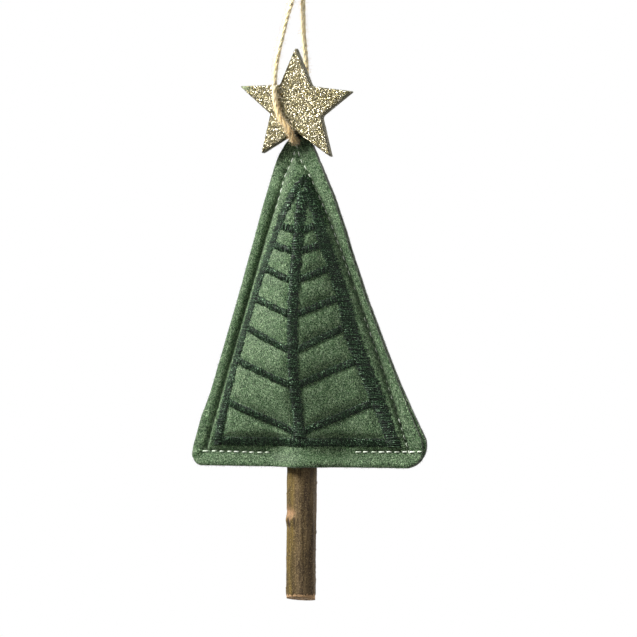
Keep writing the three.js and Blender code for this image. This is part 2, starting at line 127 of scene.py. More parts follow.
# Give of the soft felt: groove and puckers at the stitches, curl of the free edge, the walls by which the
# front stands up inside its stitches, thinning over the crown, puff of the cells, and an uneven surface
GROOVE_DEPTH = 0.5
GROOVE_WIDTH = 0.75
GROOVE_BEAT = 0.35
UNSEWN_AWAY = 9
PUCKER = 0.16
PUCKER_REACH = 3
CURLS = {True: 1.1, False: 1.9}
CURL_REACHES = {True: 2.4, False: 6}
CURL_LOW_SHARE = 0.7
CURL_TOPS = (9, 24)
LOW_LEFT_DROP = 60
LOW_LEFT_FADE = 30
LOW_LEFT_WIDTH = 10
HEM_CURL = 2.6
HEM_CURL_REACH = 4.6
HEM_CURL_FADE = 3
EDGE_ROLL = 0.6
EDGE_ROLL_REACH = 2.0
WALL_HEIGHTS = {True: 1.7, False: 1.0}
WALL_REACHES = {True: 0.4, False: 0.5}
WALL_POWER = 1.5
WALL_BLEND = 12
WALL_TOP_DROP = 12
WALL_TOP_FADE = 16
WALL_FULL_HALF = 9
WALL_HEM_FADE = 7
HEM_WALL = 0.25
HEM_WALL_REACH = 0.6
HEM_WALL_LOSS = 0.7
THINNING = 0.25
THINNING_HEIGHT = 8
CELL_PUFF = 0.8
CELL_REACH = 1.3
CELL_MARGIN = 3
FELT_WAVE = 0.16
FELT_WAVE_SIZE = 9
FINE_WAVE_SHARE = 0.5
NEARBY = 6
FAR = 99.0

# Painted shade on the felt along the seam groove and by the hole, its paler cut edge, partly painted light,
# and how hairy it is
CREASE_SHADE_LEFT_REACH = 0.9
CREASE_SHADE_RIGHT_REACH = 0.5
CREASE_SHADE_INNER_REACH = 0.25
CREASE_SHADE_TOP_FADE = 18
CREASE_SHADE_FREE_RISE = 1.5
HOLE_SHADE = (0.6, 2.4)
HOLE_SHADE_REACH = (1.5, 1.0)
HOLE_SHADE_EDGE = 1.6
FRONT_CUT_SHARE = 0.85
CUT_HAIR_GAIN = 2

# Satin stitch pattern
PATTERN_AXIS = 3
PATTERN_TOP = -10.9
PATTERN_HEM = -101.3
PATTERN_TOP_HALVES = {True: 2.1, False: 4.2}
PATTERN_HEM_HALVES = {True: 32.9, False: 33.8}
PATTERN_BOWS = {True: 2.2, False: -2.1}
BORDER_IN_SPOTS = [-92, -79, -66, -53, -39, -32, -25, -20, -15]
BORDER_IN_GIVES = [0, 0.4, 1.0, 0.2, 0.6, 1.1, 0.9, 0.5, 0]
PATTERN_TOP_ROUND = 6
PATTERN_CLEAR = 0.35
BORDER_SPOTS = [0, 0.35, 0.6, 1]
BORDER_WIDTHS = {True: [3.3, 3.1, 3.1, 3.1], False: [3.5, 3.3, 4.7, 4.9]}
WINDOW_TOPS = {True: -17.4, False: -20.8}
BORDER_HEM = 2.9
BORDER_TOP_GAP = 0.1
BORDER_LEAST = 0.2
BORDER_AXIS_GAP = 0.15
BORDER_STEM_GAP = 0.1
BORDER_LAP = 0.1
BOTTOM_SHORT = 8
STEM_WIDTH = 3.5
STEM_TOP = -16.5
STEM_LAP = 0.2
STEM_FLARE = 0.5
STEM_FLARE_HEIGHT = 7
BRANCH_WIDTH = 2.4
OUTLINE_STEPS = 26
BRANCH_STEM_SHARES = [0.207, 0.282, 0.388, 0.513, 0.643, 0.771, 0.943]
BRANCH_TIP_SHARES = [0.192, 0.262, 0.348, 0.458, 0.566, 0.687, 0.84]
SATIN_PITCH = 0.6
SATIN_RADIUS = 0.25
SATIN_RISE = 0.55
SATIN_SINK = 0.3
SATIN_RAGGED = 0.22
SATIN_PAST = 0.7
SATIN_NARROW = 1.5
SATIN_UNEVEN = 0.22
SATIN_SKEW = 0.9
SATIN_DIP = 0.14
SATIN_DIP_SIZE = 1.7
SATIN_LOOSE = 0.1
SATIN_POINTS = 7
SATIN_THINNEST = 0.65
BED_STEP = 1.2
BED_SPAN = (0.04, 0.96)
BED_RISE = 0.42
BED_SINK = 0.12
BED_DEPTH = 0.35

# Running stitches
STITCH_PITCH = 2.73
STITCH_LENGTHS = {"side": 1.7, "hem": 1.5}
STITCH_RADII = {"side": 0.15, "hem": 0.29}
STITCH_LIFTS = {"side": 0.5, "hem": 0.84}
STITCH_POINTS = 8
STITCH_THINNEST = 0.85
STITCH_START = 0.3
STITCH_LAST_SHARE = 0.7
STITCH_SHIFT = 0.15
STITCH_LENGTH_SHARES = (0.85, 1.12)
STITCH_STRAY = 0.05
STITCH_SINK = 0.35
SUNK_SPANS = {True: (-110, -26), False: (-92, -47)}
SUNK_SHIFTS = {True: 0.3, False: 0}
SUNK_DROP = 0.25
HEM_STITCH_SHORT = 1.8
TOP_TAIL = ((0.1, 0.2), (-0.5, 2.2))
SIDE_RUN_POINTS = 160
HEM_RUN_POINTS = 40

# Twig
TWIG_TOP = 34 - HEM_DROP
TWIG_END = -HEM_DROP - 44.1
TWIG_RADIUS = 5
TWIG_END_RADIUS = 4.9
TWIG_LEANS = (1.6, 0.5)
TWIG_SIDES = 128
TWIG_ROWS = 250
TWIG_CROWDING = 0.02
TWIG_CUT = math.radians(11)
TWIG_CUT_BEND = (0.9, 0.1)
CAP_SHARES = (0.965, 0.86, 0.66, 0.42, 0.2, 0.06)
CAP_BARK_SHARE = 0.9
CAP_SINKS = (0.12, 0.25)
CAP_ROUGH = 0.14
CAP_ROUGH_SIZE = 0.8

# Relief of the bark: its stretch along the twig, its size and its height
BARK_RIBS = (0.1, 1.7, 0.2)
BARK_SWELLS = (0.18, 6, 0.22)
BARK_GRAIN = (0.45, 0.7, 0.09)
BARK_PORES = (1, 1.1, 0.5)
PORE_LEVEL = 0.42
PORES_UNTIL = 0.985
BARK_DEPTH = 0.22
CHIP_HEIGHT = 1.5
CHIP_UNEVEN = 0.9
CHIP_FADE = 0.9
BUD_Z = -125.7
BUD_HEIGHT = 0.6
BUD_REACH = 3.2
BUD_TURN = math.radians(232)
BUD_SPREAD = math.radians(52)
SCAR_LIFT = 2.0
SCAR_NARROW = 1.5
SCAR_REACH = 2.7
SCAR_EDGE = 1.25
SCAR_UNEVEN = 0.5
SCAR_DEPTH = 0.35
PIT_DROP = 1.4
PIT_TURN = 0.05
PIT_REACHES = (0.9, 2.0)
PIT_EDGE = 1.35
PIT_DEPTH = 0.55

# Star
STAR_RADIUS = 20.9
STAR_HEIGHT_SHARE = 0.948
STAR_INNER_SHARE = 0.45
STAR_TIP_RADIUS = 0.6
STAR_TURN = math.radians(0.2)
STAR_SLANT = 0.068
STAR_CENTRE = (0.7, 11.25)
FOOT_NOTCH = 5
FOOT_NOTCH_LIFT = 0.7
STAR_BACK = 2.35
STAR_THICK = 2.8
STAR_COAT = 0.62
STAR_STEP = 0.45
STAR_EDGE_WAVE = (0.07, 1.1)
STAR_FACE_WAVE = (0.1, 1.6)
STAR_FILL_SHARES = (0.9, 0.78, 0.64, 0.5, 0.36, 0.22, 0.1)
STAR_FELT_INSETS = (0.3, 0.08, 0, 0, 0.05, 0.2)
STAR_FELT_DEPTHS = (0, 0.15, 0.5, STAR_THICK - 0.5, STAR_THICK - 0.15, STAR_THICK)
STAR_COAT_INSETS = (0.4, 0.3, 0.3, 0.4)
STAR_COAT_DEPTHS = (STAR_THICK - 0.1, STAR_THICK, STAR_THICK + STAR_COAT - 0.1, STAR_THICK + STAR_COAT)
WORN_REACH = 17.2
WORN_FADE = 2.2
WORN_FOOT = -6
WORN_PATCH = 3.0
WORN_PATCH_SIZE = 2.2
WORN_FLAKE_LOSS = 0.85
SIDE_FLAKE_SHARE = 0.12

# Twine
TWINE_DIAMETER = 1.7
TWINE_LAY = 7.5
TWINE_PLIES = 3
TWINE_STEP = 0.4
PLY_SIDES = 10
PLY_SWELL = 1.4
PLY_LUMP = 0.12
PLY_LUMP_SIZE = 2.4
PLY_APART = 9.0
YARN_REPEAT = 2.2
LEAST_FRAY = 0.001
FRAY_OPENING = 0.5
# Where the twine is drawn down to the hole: its plies loosen, it grows more hairs, and it is painted browner
# as shade.
FRAY_SHADE_CENTRE = (0, -6, 3 - HOLE_DROP)
FRAY_SHADE_REACHES = (10, 5, 13)
FRAY_SHADE_EDGE = 1.25
FRAY_SHADE_MOST = 0.75
FRAY_SHADE_BACK = 1
FRAY_SHADE_OPENING = 0.6
FRAY_SHADE_HAIR_GAIN = 3
KNOT_HEIGHT = 5.6
KNOT_REACH = 2.35
KNOT_SWELL = 0.25
KNOT_WRAP_TOP = 4.6
KNOT_WRAP_FALL = 2.6
KNOT_WRAP_TURNS = (20, 450)
KNOT_WRAP_POINTS = 12
KNOT_STEP = 0.35
TAIL_LENGTH = 8
TAIL_FRAY = 3.5

# Hairs, whose middle and end are shares of their length, and the fibre inside
HAIR_MIDDLE = (0.25, 0.1, 0.45)
HAIR_END = (0.8, -0.1, 0.55)
SHORTEST_HAIR_SHARE = 0.35
TUFT_SIZE = 2.5
TUFT_DEPTH = 0.5
STUFFING_CLEAR = 0.5
STUFFING_LEAST = 0.05

# View and light
CAMERA_TURN = math.radians(20)
CAMERA_DISTANCE = 1200
VIEW_WIDTH = 212.3
VIEW_CENTRE = (6.5, -116.2)
LIGHT_AIM = (4, 0, -120)
FLOOR_PLACE = (0, 0, -1.0)
FLOOR_SIZE = 5
FLOOR_GLOW = 0.6


def to_metres(points):
    """Points of the tree, measured from the punched hole, as points of the frame."""
    return (np.asarray(points, float) - (0, 0, HOLE_DROP)) * MM


def soft_noise(points, size, seed):
    """Smooth lumps from -1 to 1, about one size across."""
    scaled = np.asarray(points, float) / size + (seed * 17.3, seed * 5.1, seed * 9.7)
    values = [noise.noise(Vector(point)) for point in scaled.reshape(-1, 3)]
    return np.array(values).reshape(scaled.shape[:-1])


def smooth_step(share):
    """A share held from 0 to 1, with a soft start and a soft end."""
    share = np.clip(share, 0, 1)
    return share * share * (3 - 2 * share)


def length_along(line):
    """Length of a line up to each of its points."""
    return np.concatenate([[0], np.cumsum(np.linalg.norm(np.diff(line, axis=0), axis=1))])


def link_object(name, data):
    """A new object at the origin, in the scene."""
    made = bpy.data.objects.new(name, data)
    bpy.context.scene.collection.objects.link(made)
    return made


def smooth_faces(mesh):
    """Smooth shading on every face."""
    mesh.polygons.foreach_set("use_smooth", [True] * len(mesh.polygons))


def evaluated_mesh(piece):
    """A plain mesh of a piece as its modifiers leave it."""
    graph = bpy.context.evaluated_depsgraph_get()
    return bpy.data.meshes.new_from_object(piece.evaluated_get(graph), depsgraph=graph)


def new_piece(name, points, faces, materials, slots=None):
    """A mesh object from points in metres, smooth, with its faces turned outwards."""
    mesh = bpy.data.meshes.new(name)
    mesh.from_pydata(np.asarray(points, float).tolist(), [], faces)
    for material in materials:
        mesh.materials.append(material)
    if slots is not None:
        mesh.polygons.foreach_set("material_index", slots)
    smooth_faces(mesh)
    shell = bmesh.new()
    shell.from_mesh(mesh)
    bmesh.ops.recalc_face_normals(shell, faces=shell.faces)
    shell.to_mesh(mesh)
    shell.free()
    return link_object(name, mesh)


def grid_faces(rows, columns, start=0, closed=False):
    """Faces over a grid of points; a closed grid joins its last column to its first."""
    faces = []
    for row in range(rows - 1):
        for column in range(columns if closed else columns - 1):
            after = (column + 1) % columns
            a, b = start + row * columns + column, start + row * columns + after
            faces.append((a, b, b + columns, a + columns))
    return faces


def sheet_faces(rows, columns):
    """Faces over a grid of points, and over a second grid behind it that faces the other way."""
    behind = grid_faces(rows, columns, start=rows * columns)
    return grid_faces(rows, columns) + [face[::-1] for face in behind]


def rim_numbers(rows, columns):
    """Numbers of the points round the edge of a grid, in order."""
    top = [(0, column) for column in range(columns)]
    right = [(row, columns - 1) for row in range(1, rows)]
    foot = [(rows - 1, column) for column in range(columns - 2, -1, -1)]
    left = [(row, 0) for row in range(rows - 2, 0, -1)]
    return np.array([row * columns + column for row, column in (*top, *right, *foot, *left)])


def band_faces(loops):
    """Faces from each closed loop of point numbers to the next."""
    faces = []
    for upper, lower in zip(loops, loops[1:]):
        corners = (upper, np.roll(upper, -1), np.roll(lower, -1), lower)
        faces.extend(zip(*[numbers.tolist() for numbers in corners]))
    return faces


def end_faces(first, last, count):
    """The two faces that close a tube, given the first number of its first and of its last ring."""
    return [tuple(range(first + count - 1, first - 1, -1)), tuple(range(last, last + count))]


# Colours and node helpers


def srgb(red, green, blue):
    """A screen colour, 0 to 255, as the linear colour that a shader takes."""
    shares = [value / 255 for value in (red, green, blue)]
    return (*[s / 12.92 if s <= 0.04045 else ((s + 0.055) / 1.055) ** 2.4 for s in shares], 1.0)


def add_node(tree, kind, inputs=None, **settings):
    """A node with its settings, its inputs linked to sockets or set to values."""
    node = tree.nodes.new(kind)
    for name, value in settings.items():
        setattr(node, name, value)
    for key, value in (inputs or {}).items():
        socket = node.inputs[key]
        if isinstance(value, bpy.types.NodeSocket):
            tree.links.new(value, socket)
        else:
            socket.default_value = value
    return node


def calc(tree, operation, first, second=0.0):
    """A sum or other operation on two values."""
    return add_node(tree, "ShaderNodeMath", {0: first, 1: second}, operation=operation).outputs[0]


def weighed(tree, first, first_share, second, second_share):
    """The sum of two values, each times its own share."""
    return calc(tree, "ADD", calc(tree, "MULTIPLY", first, first_share),
                calc(tree, "MULTIPLY", second, second_share))


def carried(tree, label):
    """A value that the piece carries on its points."""
    return add_node(tree, "ShaderNodeAttribute", attribute_name=label).outputs["Fac"]


def lumps(tree, vector, size, detail=2.0, roughness=0.5, distortion=0.0):
    """Noise from 0 to 1 with lumps of a size in millimetres."""
    return add_node(tree, "ShaderNodeTexNoise", {
        "Vector": vector, "Scale": 1 / (size * MM), "Detail": detail, "Roughness": roughness,
        "Distortion": distortion}).outputs["Fac"]


def spread(tree, value, low, high, to_low=0.0, to_high=1.0):
    """A value between two limits, spread over another range."""
    return add_node(tree, "ShaderNodeMapRange", {
        "Value": value, "From Min": low, "From Max": high, "To Min": to_low, "To Max": to_high}).outputs[0]


def mix(tree, share, first, second):
    """Two colours mixed by the share of the second."""
    return add_node(tree, "ShaderNodeMix", {0: share, 6: first, 7: second}, data_type="RGBA").outputs[2]


def stretched(tree, vector, scale, turn=(0, 0, 0)):
    """A place scaled, and turned, before a pattern reads it."""
    return add_node(tree, "ShaderNodeMapping", {
        "Vector": vector, "Scale": scale, "Rotation": turn}).outputs[0]


def new_group(name, inputs, outputs, kind="ShaderNodeTree"):
    """An empty node group with its named sockets, and the nodes that carry them."""
    group = bpy.data.node_groups.new(name, kind)
    for label, socket, value in inputs:
        made = group.interface.new_socket(label, in_out="INPUT", socket_type=socket)
        if value is not None:
            made.default_value = value
    for label, socket in outputs:
        group.interface.new_socket(label, in_out="OUTPUT", socket_type=socket)
    return group, group.nodes.new("NodeGroupInput"), group.nodes.new("NodeGroupOutput")


def new_material(name, **constants):
    """A material and its tree, with the shader's fixed values set on its own sockets."""
    material = bpy.data.materials.new(name)
    material.use_nodes = True
    shader = material.node_tree.nodes["Principled BSDF"]
    for label, value in constants.items():
        shader.inputs[label.replace("_", " ")].default_value = value
    return material, material.node_tree, shader


def bump(tree, shader, height, distance, strength):
    """Fine relief from a height; distance is how far a height of 1 stands up, in millimetres."""
    relief = add_node(tree, "ShaderNodeBump", {
        "Height": height, "Distance": distance * MM, "Strength": strength})
    tree.links.new(relief.outputs[0], shader.inputs["Normal"])


def object_place(tree):
    """The place on the piece, in metres of the frame."""
    return add_node(tree, "ShaderNodeTexCoord").outputs["Object"]


def place_group(tree, group, inputs):
    """A shared node group placed in a material, with its own values."""
    return add_node(tree, "ShaderNodeGroup", inputs, node_tree=group)


def felt_grain_group():
    """Matted wool: pale fibres drawn every way over dark pits, blotches, and the height of the tangle; the
    pale fibres and dark pits follow that height, partly the wool's own colour and partly painted light and
    shade.
    """
    group, start, end = new_group("felt_grain", [("Vector", "NodeSocketVector", None)],
                                  [("Mottle", "NodeSocketFloat"), ("Height", "NodeSocketFloat")])
    vector = start.outputs["Vector"]
    tangle = lumps(group, vector, 0.37, detail=5, roughness=0.85, distortion=0.6)
    drawn = None
    for turn in ((0.3, 0.5, 0.4), (0.2, -0.9, 0.1), (0.5, 1.7, 0.2)):
        strand = lumps(group, stretched(group, vector, (1, 1, 0.24), turn), 0.27, detail=2, distortion=0.9)
        drawn = strand if drawn is None else calc(group, "MAXIMUM", drawn, strand)
    blotch = lumps(group, vector, 3.2, detail=3, roughness=0.6)
    fine = weighed(group, spread(group, tangle, 0.445, 0.555), 0.6, spread(group, drawn, 0.52, 0.74), 0.4)
    group.links.new(weighed(group, fine, 0.8, blotch, 0.2), end.inputs["Mottle"])
    group.links.new(fine, end.inputs["Height"])
    return group


def twist_group():
    """Twisted yarn read from its own UV map: slanted strands, and loose fibres between them."""
    group, start, end = new_group("yarn_twist", [
        ("Vector", "NodeSocketVector", None), ("Slant", "NodeSocketFloat", 1.0),
        ("Strands", "NodeSocketFloat", 6.0)],
        [("Strand", "NodeSocketFloat"), ("Fibre", "NodeSocketFloat")])
    parts = add_node(group, "ShaderNodeSeparateXYZ", {0: start.outputs["Vector"]})
    along = calc(group, "MULTIPLY", parts.outputs["X"], start.outputs["Slant"])
    turned = calc(group, "ADD", calc(group, "MULTIPLY", parts.outputs["Y"], start.outputs["Strands"]), along)
    wave = calc(group, "SINE", calc(group, "MULTIPLY", turned, 2 * math.pi))
    strand = spread(group, wave, -1, 1)
    combed = add_node(group, "ShaderNodeCombineXYZ", {
        0: calc(group, "MULTIPLY", turned, 5.0), 1: parts.outputs["X"]}).outputs[0]
    fibre = add_node(group, "ShaderNodeTexNoise", {
        "Vector": combed, "Scale": 1.6, "Detail": 3.0, "Roughness": 0.7}).outputs["Fac"]
    group.links.new(strand, end.inputs["Strand"])
    group.links.new(fibre, end.inputs["Fibre"])
    return group


FELT_GRAIN = felt_grain_group()
YARN_TWIST = twist_group()


def felt_material(name, shade, middle, light, marks=None):
    """Felt from its pits to its fibres, partly painted light and shade on its relief; each mark is an
    attribute of the piece and the colour it brings, and some of these colours are painted shade and painted
    light.
    """
    material, tree, shader = new_material(name, Roughness=0.95, Sheen_Weight=0.15, Sheen_Roughness=0.5,
                                          Sheen_Tint=srgb(215, 228, 205), Specular_IOR_Level=0.2)
    grain = place_group(tree, FELT_GRAIN, {"Vector": object_place(tree)})
    mottle = grain.outputs["Mottle"]
    low = mix(tree, spread(tree, mottle, 0.27, 0.46), shade, middle)
    tone = mix(tree, spread(tree, mottle, 0.56, 0.74), low, light)
    for label, colour in (marks or {}).items():
        share = carried(tree, label)
        broken = calc(tree, "MULTIPLY", share, spread(tree, mottle, 0.2, 0.5, 0.75, 1))
        tone = mix(tree, broken, tone, colour)
    tree.links.new(tone, shader.inputs["Base Color"])
    bump(tree, shader, grain.outputs["Height"], 1.3, 1.0)
    return material


def thread_material(name, dark, light, roughness, painted_glint=None):
    """Sewing thread, shaded by the tone that each stitch carries, with a few painted glints: pale flecks
    mixed into its colour at random spots.
    """
    material, tree, shader = new_material(name, Roughness=roughness, Specular_IOR_Level=0.2)
    lint = lumps(tree, object_place(tree), 0.3, detail=2)
    share = weighed(tree, carried(tree, "tone"), 0.6, lint, 0.4)
    colour = mix(tree, spread(tree, share, 0.15, 0.85), dark, light)
    if painted_glint:
        # Painted glints: pale flecks of colour standing in for light caught on the thread.
        glint_fleck = lumps(tree, stretched(tree, object_place(tree), (0.6, 1, 1)), 0.3, detail=3, roughness=0.7)
        colour = mix(tree, spread(tree, glint_fleck, 0.59, 0.64), colour, painted_glint)
    tree.links.new(colour, shader.inputs["Base Color"])
    bump(tree, shader, lint, 0.15, 0.9)
    return material


def jute_material(dark, light, brown):
    """Twine fibre: pale straw with darker strands, painted browner as shade near the hole where its attribute
    says.
    """
    material, tree, shader = new_material("jute", Roughness=0.85, Sheen_Weight=0.2, Sheen_Roughness=0.5,
                                          Specular_IOR_Level=0.2, Subsurface_Weight=0.7,
                                          Subsurface_Scale=1.4 * MM, Subsurface_Radius=(1.0, 0.85, 0.6))
    yarn = place_group(tree, YARN_TWIST, {
        "Vector": add_node(tree, "ShaderNodeUVMap", uv_map="along").outputs[0], "Slant": 0.9, "Strands": 3.0})
    blotch = lumps(tree, object_place(tree), 1.3, detail=2)
    share = weighed(tree, yarn.outputs["Fibre"], 0.6, blotch, 0.4)
    straw = mix(tree, spread(tree, share, 0.32, 0.66), dark, light)
    # Painted shade: browner near the hole where the twine dives in.
    tree.links.new(mix(tree, carried(tree, "fray_and_shade"), straw, brown), shader.inputs["Base Color"])
    height = calc(tree, "ADD", calc(tree, "MULTIPLY", yarn.outputs["Strand"], 0.4), yarn.outputs["Fibre"])
    bump(tree, shader, height, 0.16, 0.8)
    return material


def hair_material(name, dark, light):
    """Loose hairs, each with its own tone."""
    material, tree, shader = new_material(name, Roughness=0.9, Specular_IOR_Level=0.2)
    tree.links.new(mix(tree, carried(tree, "tone"), dark, light), shader.inputs["Base Color"])
    return material


def bark_material():
    """Thin bark: olive on the left, purple brown on the right, streaked lengthways and finely speckled."""
    material, tree, shader = new_material("bark", Roughness=0.82, Specular_IOR_Level=0.3)
    place = object_place(tree)
    parts = add_node(tree, "ShaderNodeSeparateXYZ", {0: place})
    streak = lumps(tree, stretched(tree, place, (1, 1, 0.09)), 1.1, detail=4, roughness=0.6)
    broad = lumps(tree, stretched(tree, place, (1, 1, 0.12)), 4.2, detail=2)
    speckle = lumps(tree, place, 0.42, detail=3, roughness=0.7)
    patch = lumps(tree, stretched(tree, place, (1, 1, 0.4)), 3.5, detail=3)
    side = calc(tree, "ADD", spread(tree, parts.outputs["X"], -4 * MM, 6 * MM),
                calc(tree, "MULTIPLY", calc(tree, "SUBTRACT", broad, 0.5), 1.6))
    olive = mix(tree, spread(tree, streak, 0.35, 0.65), srgb(60, 48, 16), srgb(112, 92, 42))
    brown = mix(tree, spread(tree, streak, 0.35, 0.65), srgb(58, 45, 30), srgb(114, 95, 66))
    skin = mix(tree, spread(tree, side, 0.3, 0.75), olive, brown)
    skin = mix(tree, spread(tree, patch, 0.58, 0.72, 0, 0.6), skin, srgb(70, 55, 34))
    skin = mix(tree, spread(tree, speckle, 0.54, 0.64, 0, 0.9), skin, srgb(38, 28, 18))
    skin = mix(tree, spread(tree, speckle, 0.33, 0.43, 0.55, 0), skin, srgb(176, 154, 112))
    healed = calc(tree, "MULTIPLY", carried(tree, "scar"), spread(tree, speckle, 0.4, 0.55, 0.2, 1))
    skin = mix(tree, healed, skin, srgb(158, 122, 90))
    skin = mix(tree, carried(tree, "pit"), skin, srgb(44, 30, 22))
    chipped = calc(tree, "ADD", carried(tree, "chipped"), calc(tree, "MULTIPLY", speckle, 0.5))
    skin = mix(tree, spread(tree, chipped, 0.7, 0.95), skin, srgb(176, 142, 104))
    tree.links.new(skin, shader.inputs["Base Color"])
    height = calc(tree, "ADD", calc(tree, "MULTIPLY", streak, 0.8), speckle)
    bump(tree, shader, height, 0.3, 0.7)
    return material


def cut_wood_material():
    """The sawn end: growth rings and dark pores."""
    material, tree, shader = new_material("cut_wood", Roughness=0.8, Specular_IOR_Level=0.3)
    place = object_place(tree)
    across = stretched(tree, place, (1, 1, 0.15))
    rings = add_node(tree, "ShaderNodeTexWave", {
        "Vector": across, "Scale": 1 / (5.5 * MM), "Distortion": 2.5, "Detail": 2.0},
        wave_type="RINGS", rings_direction="Z").outputs["Fac"]
    pores = lumps(tree, place, 0.9, detail=3, roughness=0.8)
    wood = mix(tree, rings, srgb(184, 146, 104), srgb(224, 192, 152))
    wood = mix(tree, spread(tree, pores, 0.46, 0.58, 0, 0.95), wood, srgb(66, 44, 26))
    tree.links.new(wood, shader.inputs["Base Color"])
    bump(tree, shader, pores, 0.25, 0.8)
    return material


def glitter_bed_material():
    """The coat under the flakes: dark olive gold, with green felt showing where the coat is worn."""
    material, tree, shader = new_material("glitter_bed", Roughness=0.55, Specular_IOR_Level=0.5)
    place = object_place(tree)
    grain = lumps(tree, place, 0.4, detail=3, roughness=0.7)
    coat = mix(tree, spread(tree, grain, 0.35, 0.65), srgb(58, 54, 30), srgb(120, 112, 76))
    felt = mix(tree, spread(tree, grain, 0.35, 0.65), srgb(92, 106, 72), srgb(140, 154, 112))
    tree.links.new(mix(tree, carried(tree, "worn"), coat, felt), shader.inputs["Base Color"])
    bump(tree, shader, grain, 0.3, 0.8)
    return material


def flake_material():
    """Glitter flakes: pale champagne metal, each with its own tone."""
    material, tree, shader = new_material("glitter_flake", Metallic=1.0, Roughness=0.2)
    tone = carried(tree, "tone")
    gold = mix(tree, spread(tree, tone, 0.25, 0.65), srgb(42, 38, 18), srgb(118, 109, 74))
    pale = mix(tree, spread(tree, tone, 0.76, 0.93), gold, srgb(238, 230, 206))
    tree.links.new(pale, shader.inputs["Base Color"])
    return material


def glue_material():
    """Dried glue, clear and a little cloudy."""
    material, tree, shader = new_material("clear_glue", Roughness=0.25, Coat_Weight=0.3)
    cloud = lumps(tree, object_place(tree), 0.8, detail=3)
    tree.links.new(mix(tree, cloud, srgb(196, 190, 160), srgb(228, 222, 200)), shader.inputs["Base Color"])
    bump(tree, shader, cloud, 0.2, 0.5)
    return material


def stuffing_material():
    """White fibre in wisps."""
    material, tree, shader = new_material("white_fibre", Roughness=1.0, Sheen_Weight=0.3)
    wisp = lumps(tree, stretched(tree, object_place(tree), (1, 0.3, 1)), 0.5, detail=4, distortion=2)
    tree.links.new(mix(tree, wisp, srgb(206, 204, 196), srgb(240, 239, 234)), shader.inputs["Base Color"])
    bump(tree, shader, wisp, 0.4, 0.8)
    return material


# In the marks, the seam groove's colour is painted shade, the hole's colour is a painted shadow under the
# star, and the cut edge's paler grey is partly painted light where its fibres catch it.
TREE_FELT = felt_material("tree_felt", srgb(10, 38, 8), srgb(108, 156, 96), srgb(232, 255, 208),
                          marks={"crease": srgb(56, 82, 48), "cut": srgb(178, 176, 170),
                                 "shade": srgb(38, 28, 10)})
STAR_FELT = felt_material("star_felt", srgb(150, 142, 112), srgb(206, 198, 168), srgb(240, 234, 208))
FELT_HAIR = hair_material("felt_hair", srgb(104, 134, 96), srgb(160, 184, 148))
STAR_HAIR = hair_material("star_hair", srgb(96, 108, 82), srgb(146, 156, 126))
# The last colour is the satin thread's painted glints.
SATIN_THREAD = thread_material("satin_thread", srgb(0, 8, 1), srgb(12, 40, 14), 0.42, srgb(160, 204, 158))
SEAM_THREAD = thread_material("seam_thread", srgb(188, 204, 176), srgb(240, 245, 232), 0.6)
# The third colour is the brown painted as shade near the hole.
JUTE = jute_material(srgb(234, 202, 150), srgb(255, 236, 198), srgb(184, 152, 98))
JUTE_HAIR = hair_material("jute_hair", srgb(216, 184, 130), srgb(250, 236, 204))
BARK = bark_material()
CUT_WOOD = cut_wood_material()
GLITTER_BED = glitter_bed_material()
FLAKE = flake_material()
GLUE = glue_material()
STUFFING = stuffing_material()


# Geometry trees


def geometry_group(name, inputs):
    """An empty geometry tree with its own inputs between the geometry and the material."""
    sockets = [("Geometry", "NodeSocketGeometry", None), *inputs, ("Material", "NodeSocketMaterial", None)]
    return new_group(name, sockets, [("Geometry", "NodeSocketGeometry")], "GeometryNodeTree")


def finish_tree(tree, start, end, geometry):
    """The last nodes of each tree: real geometry, smooth or flat as made, in its material."""
    real = add_node(tree, "GeometryNodeRealizeInstances", {"Geometry": geometry})
    dressed = add_node(tree, "GeometryNodeSetMaterial", {
        "Geometry": real.outputs[0], "Material": start.outputs["Material"]})
    tree.links.new(dressed.outputs[0], end.inputs["Geometry"])


def random_value(tree, low, high, seed, offset, kind="FLOAT"):
    """Random values between two limits; each use in a tree has its own offset to the seed."""
    low_key, high_key, output = {"FLOAT": (2, 3, 1), "FLOAT_VECTOR": (0, 1, 0)}[kind]
    own = calc(tree, "ADD", seed, float(offset))
    return add_node(tree, "FunctionNodeRandomValue", {low_key: low, high_key: high, "Seed": own},
                    data_type=kind).outputs[output]


def whole_curve(tree, value):
    """The value that each curve has as a whole."""
    return add_node(tree, "GeometryNodeFieldOnDomain", {0: value}, domain="CURVE").outputs[0]


def toned(tree, geometry, tone):
    """The geometry with a tone on each of its points, which its material reads."""
    return add_node(tree, "GeometryNodeStoreNamedAttribute", {
        "Geometry": geometry, "Name": "tone", "Value": tone}, data_type="FLOAT", domain="POINT").outputs[0]


def thread_tree():
    """Threads laid along the edges of a mesh: each gets its own thickness and its own tone."""
    tree, start, end = geometry_group("laid_thread", [
        ("Radius", "NodeSocketFloat", SATIN_RADIUS * MM), ("Thinnest Share", "NodeSocketFloat", 0.8),
        ("Sides", "NodeSocketInt", 6), ("Seed", "NodeSocketInt", 1)])
    seed = start.outputs["Seed"]
    curves = add_node(tree, "GeometryNodeMeshToCurve", {"Mesh": start.outputs["Geometry"]}).outputs[0]
    circle = add_node(tree, "GeometryNodeCurvePrimitiveCircle", {
        "Resolution": start.outputs["Sides"], "Radius": start.outputs["Radius"]}).outputs[0]
    width = whole_curve(tree, random_value(tree, start.outputs["Thinnest Share"], 1.0, seed, 1))
    tone = whole_curve(tree, random_value(tree, 0.0, 1.0, seed, 2))
    swept = add_node(tree, "GeometryNodeCurveToMesh", {
        "Curve": toned(tree, curves, tone), "Profile Curve": circle, "Scale": width, "Fill Caps": True})
    finish_tree(tree, start, end, swept.outputs[0])
    return tree


